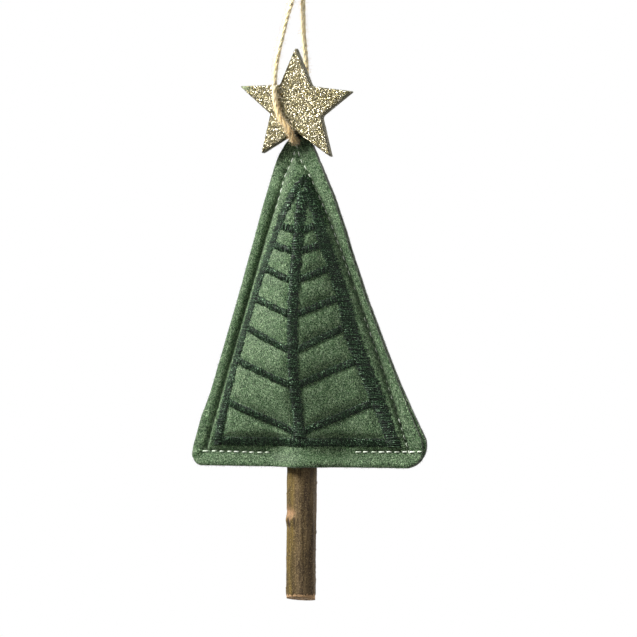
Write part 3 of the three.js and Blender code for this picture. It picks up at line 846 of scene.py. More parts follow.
def scatter_tree(name, inputs, shape):
    """Copies of a shape scattered over the faces of a mesh, as densely as its cover attribute says."""
    tree, start, end = geometry_group(name, [
        ("Density", "NodeSocketFloat", 1e6), ("Tilt", "NodeSocketFloat", 0.5),
        ("Smallest Share", "NodeSocketFloat", 0.5), ("Seed", "NodeSocketInt", 1), *inputs])
    seed = start.outputs["Seed"]
    cover = add_node(tree, "GeometryNodeInputNamedAttribute", {"Name": "cover"}, data_type="FLOAT").outputs[0]
    density = calc(tree, "MULTIPLY", cover, start.outputs["Density"])
    spots = add_node(tree, "GeometryNodeDistributePointsOnFaces", {
        "Mesh": start.outputs["Geometry"], "Density": density, "Seed": seed})
    points = toned(tree, spots.outputs["Points"], random_value(tree, 0.0, 1.0, seed, 1))
    tilt = start.outputs["Tilt"]
    back = calc(tree, "MULTIPLY", tilt, -1.0)
    low = add_node(tree, "ShaderNodeCombineXYZ", {0: back, 1: back, 2: 0.0}).outputs[0]
    high = add_node(tree, "ShaderNodeCombineXYZ", {0: tilt, 1: tilt, 2: 2 * math.pi}).outputs[0]
    lean = add_node(tree, "FunctionNodeEulerToRotation", {
        0: random_value(tree, low, high, seed, 2, "FLOAT_VECTOR")}).outputs[0]
    turned = add_node(tree, "FunctionNodeRotateRotation", {
        0: spots.outputs["Rotation"], 1: lean}, rotation_space="LOCAL").outputs[0]
    size = random_value(tree, start.outputs["Smallest Share"], 1.0, seed, 3)
    copies = add_node(tree, "GeometryNodeInstanceOnPoints", {
        "Points": points, "Instance": shape(tree, start), "Rotation": turned, "Scale": size})
    finish_tree(tree, start, end, copies.outputs[0])
    return tree


def hair_shape(tree, start):
    """One bent hair, three sided and closed, of unit length times the length input."""
    length = start.outputs["Length"]
    bend = add_node(tree, "ShaderNodeVectorMath", {0: HAIR_MIDDLE, "Scale": length}, operation="SCALE")
    far = add_node(tree, "ShaderNodeVectorMath", {0: HAIR_END, "Scale": length}, operation="SCALE")
    line = add_node(tree, "GeometryNodeCurveQuadraticBezier", {
        "Resolution": 3, "Start": (0, 0, 0), "Middle": bend.outputs[0], "End": far.outputs[0]})
    ring = add_node(tree, "GeometryNodeCurvePrimitiveCircle", {
        "Resolution": 3, "Radius": start.outputs["Radius"]})
    return add_node(tree, "GeometryNodeCurveToMesh", {
        "Curve": line.outputs[0], "Profile Curve": ring.outputs[0], "Fill Caps": True}).outputs[0]


def flake_shape(tree, start):
    """One glitter flake: a very low six sided pyramid."""
    return add_node(tree, "GeometryNodeMeshCone", {
        "Vertices": 6, "Radius Top": 0.0, "Radius Bottom": start.outputs["Radius"],
        "Depth": start.outputs["Thickness"]}, fill_type="NGON").outputs[0]


LAID_THREAD = thread_tree()
HAIRS = scatter_tree("loose_hairs", [
    ("Length", "NodeSocketFloat", 0.8 * MM), ("Radius", "NodeSocketFloat", 0.02 * MM)], hair_shape)
FLAKES = scatter_tree("glitter_flakes", [
    ("Radius", "NodeSocketFloat", 0.22 * MM), ("Thickness", "NodeSocketFloat", 0.05 * MM)], flake_shape)


def apply_tree(name, source, tree, **settings):
    """A new plain mesh object: the source mesh after a tree with these settings."""
    modifier = source.modifiers.new(tree.name, "NODES")
    modifier.node_group = tree
    for item in tree.interface.items_tree:
        key = item.name.replace(" ", "_")
        if item.in_out == "INPUT" and key in settings:
            modifier[item.identifier] = settings[key]
    mesh = evaluated_mesh(source)
    source.modifiers.remove(modifier)
    mesh.name = name
    return link_object(name, mesh)


def thread_piece(name, lines, radius, material, seed, thinnest, sides=6):
    """Threads along a list of lines of points in metres."""
    points, edges = [], []
    for line in lines:
        first = len(points)
        points.extend(np.asarray(line).tolist())
        edges.extend((first + step, first + step + 1) for step in range(len(line) - 1))
    mesh = bpy.data.meshes.new(name)
    mesh.from_pydata(points, edges, [])
    source = link_object(name + "_lines", mesh)
    piece = apply_tree(name, source, LAID_THREAD, Radius=radius * MM, Thinnest_Share=thinnest, Sides=sides,
                       Seed=seed, Material=material)
    bpy.data.objects.remove(source)
    smooth_faces(piece.data)
    return piece


def set_mark(piece, name, values):
    """A value on each point of a piece, which a material or a tree reads by its name."""
    attribute = piece.data.attributes.new(name, "FLOAT", "POINT")
    attribute.data.foreach_set("value", np.asarray(values, np.float32).ravel())


# Camera


def make_camera():
    """Turned to the right of the front and level with the middle of the view."""
    right = Vector((math.cos(CAMERA_TURN), math.sin(CAMERA_TURN), 0))
    target = (right * VIEW_CENTRE[0] + Vector((0, 0, VIEW_CENTRE[1]))) * MM
    away = Vector((math.sin(CAMERA_TURN), -math.cos(CAMERA_TURN), 0))
    camera = link_object("camera", bpy.data.cameras.new("camera"))
    camera.location = target + away * CAMERA_DISTANCE * MM
    camera.rotation_euler = (math.radians(90), 0, CAMERA_TURN)
    camera.data.lens = camera.data.sensor_width * CAMERA_DISTANCE / VIEW_WIDTH
    bpy.context.scene.camera = camera


make_camera()


# Twine

TWINE_ROUTE = [
    (-0.6, -1.1, 57.0), (-1.0, -1.4, 52.5), (-1.7, -1.9, 47.3), (-2.4, -3.15, 43.6), (-3.0, -4.3, 40.2),
    (-3.6, -5.7, 35.7), (-4.3, -7.0, 31.0), (-5.2, -7.3, 26.5), (-5.8, -7.4, 21.5), (-6.0, -7.4, 16.8),
    (-5.4, -7.5, 11.8), (-3.7, -7.7, 7.3), (-1.2, -7.8, 4.4), (-0.3, -7.2, 2.2), (0, -5.8, 0.5),
    (0, -4.3, 0), (0, -2.1, 0), (0, 0, 0), (0, 1.5, 0.1), (0, 3.1, 1.3), (0.1, 3.6, 3.6), (0.4, 3.5, 7.8),
    (0.9, 3.4, 12.8), (1.4, 3.2, 18.2), (1.6, 3.0, 23.4), (1.3, 2.6, 29.6), (0.9, 2.1, 35.7),
    (0.9, 1.6, 41.4), (0.9, 1.3, 47.3), (0.7, 1.2, 52.4), (0.6, 1.1, 57.0),
]


def smooth_line(points, step):
    """A smooth line through points, with its own points about one step apart."""
    points = np.asarray(points, float)
    ends = np.vstack([2 * points[0] - points[1], points, 2 * points[-1] - points[-2]])
    made = []
    for a, b, c, d in zip(ends, ends[1:], ends[2:], ends[3:]):
        count = max(int(round(np.linalg.norm(c - b) / step)), 1)
        t = np.linspace(0, 1, count, endpoint=False)[:, None]
        made.append(0.5 * (2 * b + (c - a) * t + (2 * a - 5 * b + 4 * c - d) * t ** 2
                           + (3 * b - a - 3 * c + d) * t ** 3))
    return np.vstack([*made, points[-1:]])


def line_frames(line):
    """Two directions square to a line at each of its points, carried along without twist."""
    tangents = np.gradient(line, axis=0)
    tangents /= np.linalg.norm(tangents, axis=1)[:, None]
    side = np.cross(tangents[0], (0.3, 1, 0.2))
    sides = []
    for tangent in tangents:
        side = side - tangent * side.dot(tangent)
        side /= np.linalg.norm(side)
        sides.append(side.copy())
    sides = np.array(sides)
    return sides, np.cross(tangents, sides)


def twisted_yarn(name, line, fray_and_shade=None, seed=1, fray=(0, 0)):
    """The twine along a line in millimetres: plies wound round it, each a closed tube with its own UVs.

    A share at each point, if given, paints the twine browner as shade there, loosens its plies and gives it
    more hairs; fray is the length over which the plies open at either end.
    """
    sides, ups = line_frames(line)
    along = length_along(line)
    ply_radius = TWINE_DIAMETER / 2 / (1 + 2 / math.sqrt(3)) * PLY_SWELL
    turns = 2 * math.pi * np.arange(PLY_SIDES) / PLY_SIDES
    points, faces, uvs, fray_shade_points = [], [], [], []
    ends = (np.minimum(along / max(fray[0], LEAST_FRAY), 1)
            * np.minimum((along[-1] - along) / max(fray[1], LEAST_FRAY), 1))
    fray_shade_along = np.array([0.0 if fray_and_shade is None else fray_and_shade(point) for point in line])
    loosening = 1 + FRAY_OPENING * (1 - np.clip(ends, 0, 1)) + FRAY_SHADE_OPENING * fray_shade_along
    for ply in range(TWINE_PLIES):
        phase = 2 * math.pi * (ply / TWINE_PLIES + along / TWINE_LAY)
        reach = (TWINE_DIAMETER / 2 - ply_radius) * loosening
        centre = line + reach[:, None] * (np.cos(phase)[:, None] * sides + np.sin(phase)[:, None] * ups)
        ply_sides, ply_ups = line_frames(centre)
        spots = np.column_stack([along, np.full_like(along, ply * PLY_APART), along * 0])
        lumpy = 1 + PLY_LUMP * soft_noise(spots, PLY_LUMP_SIZE, seed)
        first = len(points)
        for spot in range(len(line)):
            radius = ply_radius * lumpy[spot]
            for turn in turns:
                out = math.cos(turn) * ply_sides[spot] + math.sin(turn) * ply_ups[spot]
                points.append(centre[spot] + radius * out)
                uvs.append((along[spot] / YARN_REPEAT, turn / (2 * math.pi)))
                fray_shade_points.append(fray_shade_along[spot])
        faces.extend(grid_faces(len(line), PLY_SIDES, first, closed=True))
        faces.extend(end_faces(first, first + (len(line) - 1) * PLY_SIDES, PLY_SIDES))
    piece = new_piece(name, np.array(points) * MM, faces, [JUTE])
    layer = piece.data.uv_layers.new(name="along")
    corners = np.array([uvs[loop.vertex_index] for loop in piece.data.loops], np.float32)
    layer.data.foreach_set("uv", corners.ravel())
    set_mark(piece, "fray_and_shade", fray_shade_points)
    set_mark(piece, "cover", 1 + FRAY_SHADE_HAIR_GAIN * np.array(fray_shade_points))
    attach(piece, "hanger")
    return piece


def add_hairs(name, source, body, material, density, length, radius, tilt, seed):
    """Loose hairs over a piece, as a piece of their own; density is in hairs for each square millimetre."""
    piece = apply_tree(name, source, HAIRS, Density=density / MM ** 2, Length=length * MM, Radius=radius * MM,
                       Tilt=tilt, Seed=seed, Smallest_Share=SHORTEST_HAIR_SHARE, Material=material)
    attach(piece, body)
    return piece


def overhand_strand(side):
    """One of the two strands of the overhand knot, from the loop below it to its cut tail above it."""
    aside = side * TWINE_DIAMETER / 2
    core = [(aside * 0.9, 0, -0.6), (aside, 0, 1.5), (aside, 0.1, 4.2)]
    wrap = []
    for share in np.linspace(0, 1, KNOT_WRAP_POINTS):
        turn = math.radians(KNOT_WRAP_TURNS[0] + KNOT_WRAP_TURNS[1] * share)
        reach = KNOT_REACH + KNOT_SWELL * math.sin(math.pi * share)
        height = KNOT_WRAP_TOP - KNOT_WRAP_FALL * share + aside * 0.95
        wrap.append((reach * math.cos(turn), reach * math.sin(turn), height))
    tuck = [(-0.6 + aside * 0.5, 1.9, 2.6 + aside * 0.3), (-0.2 + aside, 1.5, 5.2),
            (aside * 1.5, 1.0, 7.6), (aside * 2.3, 0.6, KNOT_HEIGHT + TAIL_LENGTH * 0.55),
            (aside * 3.1, 0.2, KNOT_HEIGHT + TAIL_LENGTH * 0.78)]
    return smooth_line([*core, *wrap, *tuck], KNOT_STEP)


def twine_fray_and_shade(point):
    """How brown the twine is painted at a point, as shade, and how frayed it is: most where it is drawn down
    to the hole, in front of the tip.
    """
    near = np.linalg.norm((point - FRAY_SHADE_CENTRE) / FRAY_SHADE_REACHES)
    return float(FRAY_SHADE_MOST * smooth_step(FRAY_SHADE_EDGE - near)) if point[1] < FRAY_SHADE_BACK else 0.0


def make_twine():
    """The hanging loop as one free cord from the knot through the tree's hole and back, with its knot."""
    line = smooth_line(np.array(TWINE_ROUTE) - (0, 0, HOLE_DROP), TWINE_STEP)
    loop = twisted_yarn("twine", line, twine_fray_and_shade)
    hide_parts("twine_loop")
    knots = [twisted_yarn(f"twine_knot_strand_{number + 1}", overhand_strand(side), seed=number + 4,
                          fray=(0, TAIL_FRAY)) for number, side in enumerate((-1, 1))]
    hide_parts("twine_knot")
    hairs = [add_hairs("twine_hairs", loop, "hanger", JUTE_HAIR,
                       density=2.8, length=1.5, radius=0.026, tilt=1.2, seed=11)]
    for number, strand in enumerate(knots):
        hairs.append(add_hairs(f"twine_knot_hairs_{number + 1}", strand, "hanger", JUTE_HAIR,
                               density=1.3, length=1.8, radius=0.028, tilt=1.1, seed=12 + number))


make_twine()


# Felt


def side_line(z, left):
    """Straight side of the tree, a little hollow, as a distance from the hole's axis."""
    along = (-SHOULDER_DROP - z) / (HEM_DROP - SHOULDER_DROP)
    inside = np.clip(along, 0, 1)
    straight = SHOULDERS[left] + (FEET[left] - SHOULDERS[left]) * along
    return straight - HOLLOWS[left] * 4 * inside * (1 - inside)


def cut_edge(z, left, front=True):
    """The cut edge, with the tip leaned over and rounded off, and the hem corner rounded off."""
    corner = CORNERS[left]
    tip = np.clip((z + TIP_ROUND_DROP) / (TIP_RISE + TIP_ROUND_DROP), 0, 1)
    low = np.clip(corner - (z + HEM_DROP), 0, corner)
    inset = corner - np.sqrt(corner ** 2 - low ** 2)
    x = side_line(z, left) * (1 - tip ** TIP_ROUND_POWER) - inset
    if left:
        x = x + np.interp(z, LEFT_EDGE_SPOTS, LEFT_EDGE_GIVES)
    else:
        x = x + np.interp(z, RIGHT_EDGE_SPOTS, RIGHT_EDGE_GIVES, right=0)
        x = x + (0 if front else np.interp(z, BACK_EDGE_SPOTS, BACK_EDGE_GIVES, right=0))
    return TIP_LEAN * tip ** 2 + (-x if left else x)


def seam_line(z, left):
    """The sewn line on one side; both sides meet at the top."""
    along = np.clip((-SHOULDER_DROP - z) / (HEM_DROP - SHOULDER_DROP), 0, 1)
    x = side_line(z, left) - SEAM_MARGINS[left] - SEAM_SPREADS[left] * (2 * along - 1) ** 2
    if not left:
        x = x - np.interp(z, SEAM_SPOTS, SEAM_GIVES)
    below = np.clip((-SEAM_TOP_DROP - z) / SEAM_TOP_REACH, 0, 1)
    share = below * (2 - below)
    start = SEAM_TOP_LEAN + (-SEAM_TOP_WIDTH if left else SEAM_TOP_WIDTH) / 2
    return start + ((-x if left else x) - start) * share


def hem_line(x):
    """The middle of the sewn groove along the hem, which rises a little to the right."""
    return HEM_SEAM + np.interp(x, HEM_LINE_SPOTS, HEM_LINE_GIVES)


def from_seams(x, z):
    """Distances inside the sewn line, from its left side and from its right side."""
    return (x - seam_line(z, True)) * SIDE_LEAN, (seam_line(z, False) - x) * SIDE_LEAN


def beyond_seam(x, z):
    """Distance outside the sewn line, below zero inside it."""
    return np.maximum(-np.minimum(*from_seams(x, z)), hem_line(x) - z)


def unsewn(x):
    """1 where the hem is left open over the twig, 0 where it is sewn."""
    past_left = (x + HEM_STITCH_LEFT) / UNSEWN_FADE
    past_right = (HEM_STITCH_RIGHT - x) / UNSEWN_FADE
    return smooth_step(past_left + 0.5) * smooth_step(past_right + 0.5)


def right_share(x):
    """0 left of the pattern's axis and 1 right of it, with a soft change."""
    return smooth_step(0.5 + (x - PATTERN_AXIS) / AXIS_BLEND)


def blended(values, right):
    """A value for the left side turned into the one for the right side."""
    return values[True] + (values[False] - values[True]) * right


def edge_rise(distance, reach=CROWN_REACH, power=CROWN_POWER):
    """Rise from 0 at an edge to 1 at the reach, steep at first."""
    return 1 - (1 - np.clip(distance / reach, 0, 1)) ** power


def hem_ridge(x, z):
    """Rise of the felt over the twig at the open hem."""
    across = (x - RIDGE_CENTRE) / np.where(x < RIDGE_CENTRE, RIDGE_LEFT, RIDGE_RIGHT)
    hump = 0.5 * (1 + np.cos(np.pi * np.clip(np.abs(across), 0, 1)))
    return RIDGE_HEIGHT * hump * (1 - np.clip((z - HEM_SEAM) / RIDGE_FADE, 0, 1))


def wall_rise(height, distance, reach):
    """Rise to a wall's height, most of it within a reach of the stitches."""
    return height * (1 - np.exp(-(np.maximum(distance, 0) / reach) ** WALL_POWER))


def roof_rise(x, from_left, from_right):
    """Rise of the front crown's nearly flat flanks up to a ridge on the pattern's axis."""
    off_axis = (x - PATTERN_AXIS) * SIDE_LEAN
    axis_left, axis_right = from_left - off_axis, from_right + off_axis
    ridge_line = edge_rise(axis_left) * edge_rise(axis_right)
    climb = np.minimum(from_left / np.maximum(axis_left, 1), from_right / np.maximum(axis_right, 1))
    climb = np.clip(climb, 0, 1)
    climb = climb - ROOF_ROUND * np.exp(-(1 - climb) / ROOF_ROUND)
    straight = blended(ROOF_SHARES, right_share(x))
    return ridge_line * (straight * climb + (1 - straight) * (1 - (1 - climb) ** 2))


def front_walls(x, z, from_left, from_right):
    """The step by which the front felt stands up right inside its stitches."""
    left = wall_rise(WALL_HEIGHTS[True], from_left, WALL_REACHES[True])
    right = wall_rise(WALL_HEIGHTS[False], from_right, WALL_REACHES[False])
    hem = wall_rise(HEM_WALL, z - hem_line(x), HEM_WALL_REACH) * (1 - HEM_WALL_LOSS * unsewn(x))
    nearer_left = smooth_step(0.5 + (from_right - from_left) / WALL_BLEND)
    below_tip = smooth_step((-WALL_TOP_DROP - z) / WALL_TOP_FADE)
    sides = left * nearer_left * below_tip + right * (1 - nearer_left)
    broad = np.clip((from_left + from_right) / 2 / WALL_FULL_HALF, 0, 1)
    wall = sides * broad * smooth_step((z - HEM_SEAM) / WALL_HEM_FADE) + hem * broad
    return np.where((from_left > 0) & (from_right > 0) & (z > HEM_SEAM), wall, 0)


def front_crown_height(x, z):
    """Height of the front felt over its flat edge: a dome near the tip, and a roof where it is wide."""
    from_left, from_right = from_seams(x, z)
    half = (from_left + from_right) / 2
    dome = edge_rise(from_left) * edge_rise(from_right)
    wide = smooth_step((half - ROOF_HALVES[0]) / (ROOF_HALVES[1] - ROOF_HALVES[0]))
    form = dome + (roof_rise(x, from_left, from_right) - dome) * wide
    risen = np.log1p(np.exp((z - hem_line(x) - HEM_LAG) / HEM_BEND)) * HEM_BEND
    crown = np.where(z > -SEAM_TOP_DROP, 0, form * edge_rise(risen, HEM_REACH, HEM_POWER))
    most = FRONT_CROWN + np.interp(z, CROWN_SPOTS, CROWN_GIVES)
    return most * crown + hem_ridge(x, z) * (1 - crown) + front_walls(x, z, from_left, from_right)


def back_crown_height(x, z):
    """Height of the plain, round back felt over its flat edge."""
    from_left, from_right = from_seams(x, z)
    dome = edge_rise(from_left) * edge_rise(from_right)
    crown = np.where(z > -SEAM_TOP_DROP, 0, dome * edge_rise(z - HEM_SEAM))
    return BACK_CROWN * crown + hem_ridge(x, z) * (1 - crown)


def crown_height(x, z, front):
    """Height of a stuffed felt over its flat edge."""
    return front_crown_height(x, z) if front else back_crown_height(x, z)


def pattern_half(z, left):
    """Half width of the stitched pattern on one side."""
    along = (PATTERN_TOP - z) / (PATTERN_TOP - PATTERN_HEM)
    bow = PATTERN_BOWS[left] * 4 * along * (1 - along) * (1 if left else 1 - along)
    round_off = np.clip(1 - (PATTERN_TOP - z) / PATTERN_TOP_ROUND, 0, 1)
    top, foot = PATTERN_TOP_HALVES[left], PATTERN_HEM_HALVES[left]
    full = (top + (foot - top) * along) * (1 - round_off ** 2) + bow
    if not left:
        full = full - np.interp(z, BORDER_IN_SPOTS, BORDER_IN_GIVES)
    return np.minimum(full, np.abs(seam_line(z, left) - PATTERN_AXIS) - PATTERN_CLEAR)


def border_inner(z, left):
    """Inner edge of a side border, which stops short of the stem or of the other border."""
    along = (PATTERN_TOP - z) / (PATTERN_TOP - PATTERN_HEM)
    width = np.interp(along, BORDER_SPOTS, BORDER_WIDTHS[left])
    least = np.where(z > WINDOW_TOPS[left], BORDER_AXIS_GAP, STEM_WIDTH / 2 + BORDER_STEM_GAP)
    return np.maximum(pattern_half(z, left) - width, least)


def border_place(left):
    """A side border, from its top to the hem."""
    way = -1 if left else 1

    def place(u, v):
        z = PATTERN_TOP - BORDER_TOP_GAP + (PATTERN_HEM - PATTERN_TOP + BORDER_TOP_GAP) * u
        near = border_inner(z, left)
        wide = np.maximum(pattern_half(z, left), near + BORDER_LEAST)
        return PATTERN_AXIS + way * (near + (wide - near) * v), z
    return place


def bottom_place(u, v):
    """The bottom border, from the left one to the right one."""
    z = PATTERN_HEM + BORDER_HEM * v
    left = border_inner(z, True) - BORDER_LAP
    right = border_inner(z, False) - BORDER_LAP
    return PATTERN_AXIS - left + (left + right) * u, z


def stem_place(u, v):
    """The stem, which widens at its foot."""
    foot = PATTERN_HEM + BORDER_HEM - STEM_LAP
    z = STEM_TOP + (foot - STEM_TOP) * u
    flare = smooth_step((foot + STEM_FLARE_HEIGHT - z) / STEM_FLARE_HEIGHT)
    return PATTERN_AXIS + STEM_WIDTH * (1 + STEM_FLARE * flare) * (v - 0.5), z + 0 * v


def branch_place(order, left):
    """One bar from the stem up and out to the border."""
    way = -1 if left else 1
    height = PATTERN_TOP - PATTERN_HEM
    at_stem = PATTERN_TOP - BRANCH_STEM_SHARES[order] * height
    at_tip = PATTERN_TOP - BRANCH_TIP_SHARES[order] * height

    def place(u, v):
        z = at_stem + (at_tip - at_stem) * u + BRANCH_WIDTH * (v - 0.5)
        near = STEM_WIDTH / 2
        far = border_inner(at_tip + BRANCH_WIDTH * (v - 0.5), left)
        return PATTERN_AXIS + way * (near + (far - near) * u), z
    return place


def satin_columns():
    """Every stitched column: its CAD node, the function that places it and its length."""
    tall = PATTERN_TOP - PATTERN_HEM
    broad = PATTERN_HEM_HALVES[True] + PATTERN_HEM_HALVES[False] - BOTTOM_SHORT
    columns = [("embroidery_edge_left", border_place(True), tall),
               ("embroidery_edge_right", border_place(False), tall),
               ("embroidery_edge_bottom", bottom_place, broad),
               ("embroidery_stem", stem_place, STEM_TOP - PATTERN_HEM - BORDER_HEM)]
    for left in (True, False):
        side = "left" if left else "right"
        for order in range(len(BRANCH_STEM_SHARES)):
            place = branch_place(order, left)
            ends = np.array([place(0.0, 0.5), place(1.0, 0.5)])
            length = np.linalg.norm(ends[1] - ends[0])
            columns.append((f"embroidery_branch_{side}_{order + 1}", place, length))
    return columns


COLUMNS = satin_columns()


def column_outline(place):
    """Plan points round a column."""
    u = np.linspace(0, 1, OUTLINE_STEPS)
    there = np.column_stack(place(u, np.zeros(OUTLINE_STEPS)))
    back = np.column_stack(place(u[::-1], np.ones(OUTLINE_STEPS)))
    return np.vstack([there, back])


OUTLINES = [column_outline(place) for _, place, _ in COLUMNS]


def distance_to_stitching(x, z):
    """Distance in plan from each point to a stitched column nearby, zero inside one."""
    flat = np.column_stack([x.ravel(), z.ravel()])
    best = np.full(len(flat), FAR)
    for outline in OUTLINES:
        low, high = outline.min(0) - NEARBY, outline.max(0) + NEARBY
        near = np.where(((flat > low) & (flat < high)).all(1))[0]
        spots = flat[near]
        inside = np.zeros(len(spots), bool)
        least = np.full(len(spots), FAR)
        for a, b in zip(outline, np.roll(outline, -1, axis=0)):
            run = b - a
            span = max(run.dot(run), 1e-9)
            share = np.clip(((spots - a) @ run) / span, 0, 1)
            least = np.minimum(least, np.linalg.norm(spots - a - share[:, None] * run, axis=1))
            if a[1] != b[1]:
                crossing = (a[1] > spots[:, 1]) != (b[1] > spots[:, 1])
                at = a[0] + (spots[:, 1] - a[1]) / (b[1] - a[1]) * run[0]
                inside ^= crossing & (spots[:, 0] < at)
        least[inside] = 0
        best[near] = np.minimum(best[near], least)
    return best.reshape(x.shape)


def seam_pull(x, z):
    """Depth of the groove under the stitches, deepest at the needle holes, and of the puckers beside it."""
    beside = np.abs(from_seams(x, z)).min(axis=0)
    beside = np.where((z > HEM_SEAM - SIDE_STITCH_PAST) & (z < -SEAM_TOP_DROP), beside, FAR)
    within = (x > seam_line(z, True)) & (x < seam_line(z, False) + HEM_STITCH_PAST)
    under = np.where(within, np.abs(z - hem_line(x)) + UNSEWN_AWAY * unsewn(x), FAR)
    along = np.where(beside < under, z / SIDE_LEAN, x)
    distance = np.minimum(beside, under)
    beat = np.cos(2 * np.pi * along / STITCH_PITCH)
    groove = np.exp(-(distance / GROOVE_WIDTH) ** 2) * GROOVE_DEPTH * (1 + GROOVE_BEAT * beat)
    return groove + PUCKER * beat * np.exp(-distance / PUCKER_REACH) * (1 - np.exp(-distance))


def edge_curl(x, z):
    """Forward curl of the free edge, less towards the bottom left."""
    right = right_share(x)
    low = smooth_step((-z - LOW_LEFT_DROP) / LOW_LEFT_FADE)
    low_left = low * smooth_step(-x / LOW_LEFT_WIDTH) * (z > HEM_SEAM)
    most = blended(CURLS, right) * (1 - (1 - CURL_LOW_SHARE) * low_left)
    tip = smooth_step((z + CURL_TOPS[1]) / (CURL_TOPS[1] - CURL_TOPS[0]))
    most = most * (1 - (1 - right) * tip)
    hem = smooth_step((hem_line(x) - z) / HEM_CURL_FADE)
    reach = blended(CURL_REACHES, right)
    reach = reach + (HEM_CURL_REACH - reach) * hem
    return (most + (HEM_CURL - most) * hem) * smooth_step(beyond_seam(x, z) / reach)


def inside_cut(x, z, front=True):
    """Distance inside the cut edge."""
    sides = np.minimum(x - cut_edge(z, True, front), cut_edge(z, False, front) - x) * SIDE_LEAN
    return np.minimum(sides, z + HEM_DROP)


def face_curl(x, z, front):
    """Curl of a felt's free edge; both felts curl forwards, so the back one's counts down."""
    return edge_curl(x, z) if front else -edge_curl(x, z)


def felt_height(x, z, front, puffed=True):
    """Height of a felt's outer face from the seam plane."""
    x, z = np.asarray(x, float), np.asarray(z, float)
    height = OUTER + crown_height(x, z, front)
    height = height + face_curl(x, z, front) - seam_pull(x, z)
    if front:
        height = height - EDGE_ROLL * (1 - np.clip(inside_cut(x, z) / EDGE_ROLL_REACH, 0, 1)) ** 2
    seed = 3 if front else 5
    spots = np.stack([x, 0 * x, z], -1)
    wave = soft_noise(spots, FELT_WAVE_SIZE, seed)
    fine = soft_noise(spots, FELT_WAVE_SIZE / 3, seed + 1)
    height = height + FELT_WAVE * (wave + FINE_WAVE_SHARE * fine)
    if front and puffed:
        clear = distance_to_stitching(x, z)
        margin = np.clip(-beyond_seam(x, z) / CELL_MARGIN, 0, 1)
        height = height + CELL_PUFF * (1 - np.exp(-(clear / CELL_REACH) ** 2)) * margin
    return height


def felt_row(z, front):
    """Places across a felt at one height, with one of them on each sewn line."""
    left, right = cut_edge(z, True, front) + CUT_ROUND, cut_edge(z, False, front) - CUT_ROUND
    middle = (left + right) / 2
    left, right = min(left, middle - LEAST_HALF), max(right, middle + LEAST_HALF)
    sewn_left = max(seam_line(z, True), left + LEAST_FLANGE)
    sewn_right = min(seam_line(z, False), right - LEAST_FLANGE)
    shares = np.linspace(0, 1, CROWN_STEPS + 1)
    shares = shares - SEAM_CROWDING * np.sin(2 * np.pi * shares)
    sewn = np.concatenate([
        np.linspace(left, sewn_left, FLANGE_STEPS, endpoint=False),
        sewn_left + shares * (sewn_right - sewn_left),
        np.linspace(sewn_right, right, FLANGE_STEPS + 1)[1:]])
    even = np.linspace(left, right, len(sewn))
    return even + (sewn - even) * np.clip((-SEAM_TOP_DROP - z) / SEAM_TOP_REACH, 0, 1)


def felt_plan(front):
    """Plan points of a felt, row by row from the tip to the hem."""
    heights = np.concatenate([
        np.linspace(TIP_RISE - 2 * CUT_ROUND, -SEAM_TOP_DROP, TIP_ROWS, endpoint=False),
        np.linspace(-SEAM_TOP_DROP, HEM_SEAM, CROWN_ROWS, endpoint=False),
        np.linspace(HEM_SEAM, CUT_ROUND - HEM_DROP, HEM_ROWS)])
    rows = np.array([felt_row(z, front) for z in heights])
    return rows, np.broadcast_to(heights[:, None], rows.shape)


def cut_rings(rim_out, rim_in, seed):
    """Rings of points round the cut edge, from the outer face to the inner one, that round it off."""
    run = np.roll(rim_out, -2, axis=0) - np.roll(rim_out, 2, axis=0)
    square = np.column_stack([-run[:, 2], 0 * run[:, 0], run[:, 0]])
    square /= np.maximum(np.linalg.norm(square, axis=1), 1e-9)[:, None]
    away = rim_out - (PATTERN_AXIS, 0, FELT_MIDDLE)
    square *= np.sign((square * away).sum(1))[:, None]
    rough = CUT_ROUGH * soft_noise(rim_out, CUT_ROUGH_SIZE, seed)[:, None]
    return [rim_out + (rim_in - rim_out) * depth + square * (CUT_ROUND * reach + rough)
            for depth, reach in CUT_PROFILE]


def make_felt(name, front, node):
    """One felt of the tree as a closed solid with a rounded cut edge, and a hole for the twine."""
    way = -1 if front else 1
    x, z = felt_plan(front)
    hollow = HALF_GAP + crown_height(x, z, front) + face_curl(x, z, front)
    steep = np.clip((felt_height(x, z, front, puffed=False) - OUTER) / THINNING_HEIGHT, 0, 1)
    outside = np.stack([x, way * felt_height(x, z, front), z], -1).reshape(-1, 3)
    inside = np.stack([x, way * (hollow - THINNING * steep), z], -1).reshape(-1, 3)
    rim = rim_numbers(*x.shape)
    rings = cut_rings(outside[rim], inside[rim], 8 if front else 9)
    first = 2 * x.size + np.arange(len(rim))
    loops = [rim, *[first + index * len(rim) for index in range(len(rings))], rim + x.size]
    points = np.vstack([outside, inside, *rings])
    piece = new_piece(name, to_metres(points), sheet_faces(*x.shape) + band_faces(loops), [TREE_FELT])
    punch_hole(piece)
    mark_felt(piece, front)
    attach(piece, "tree")
    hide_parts(node)
    return piece


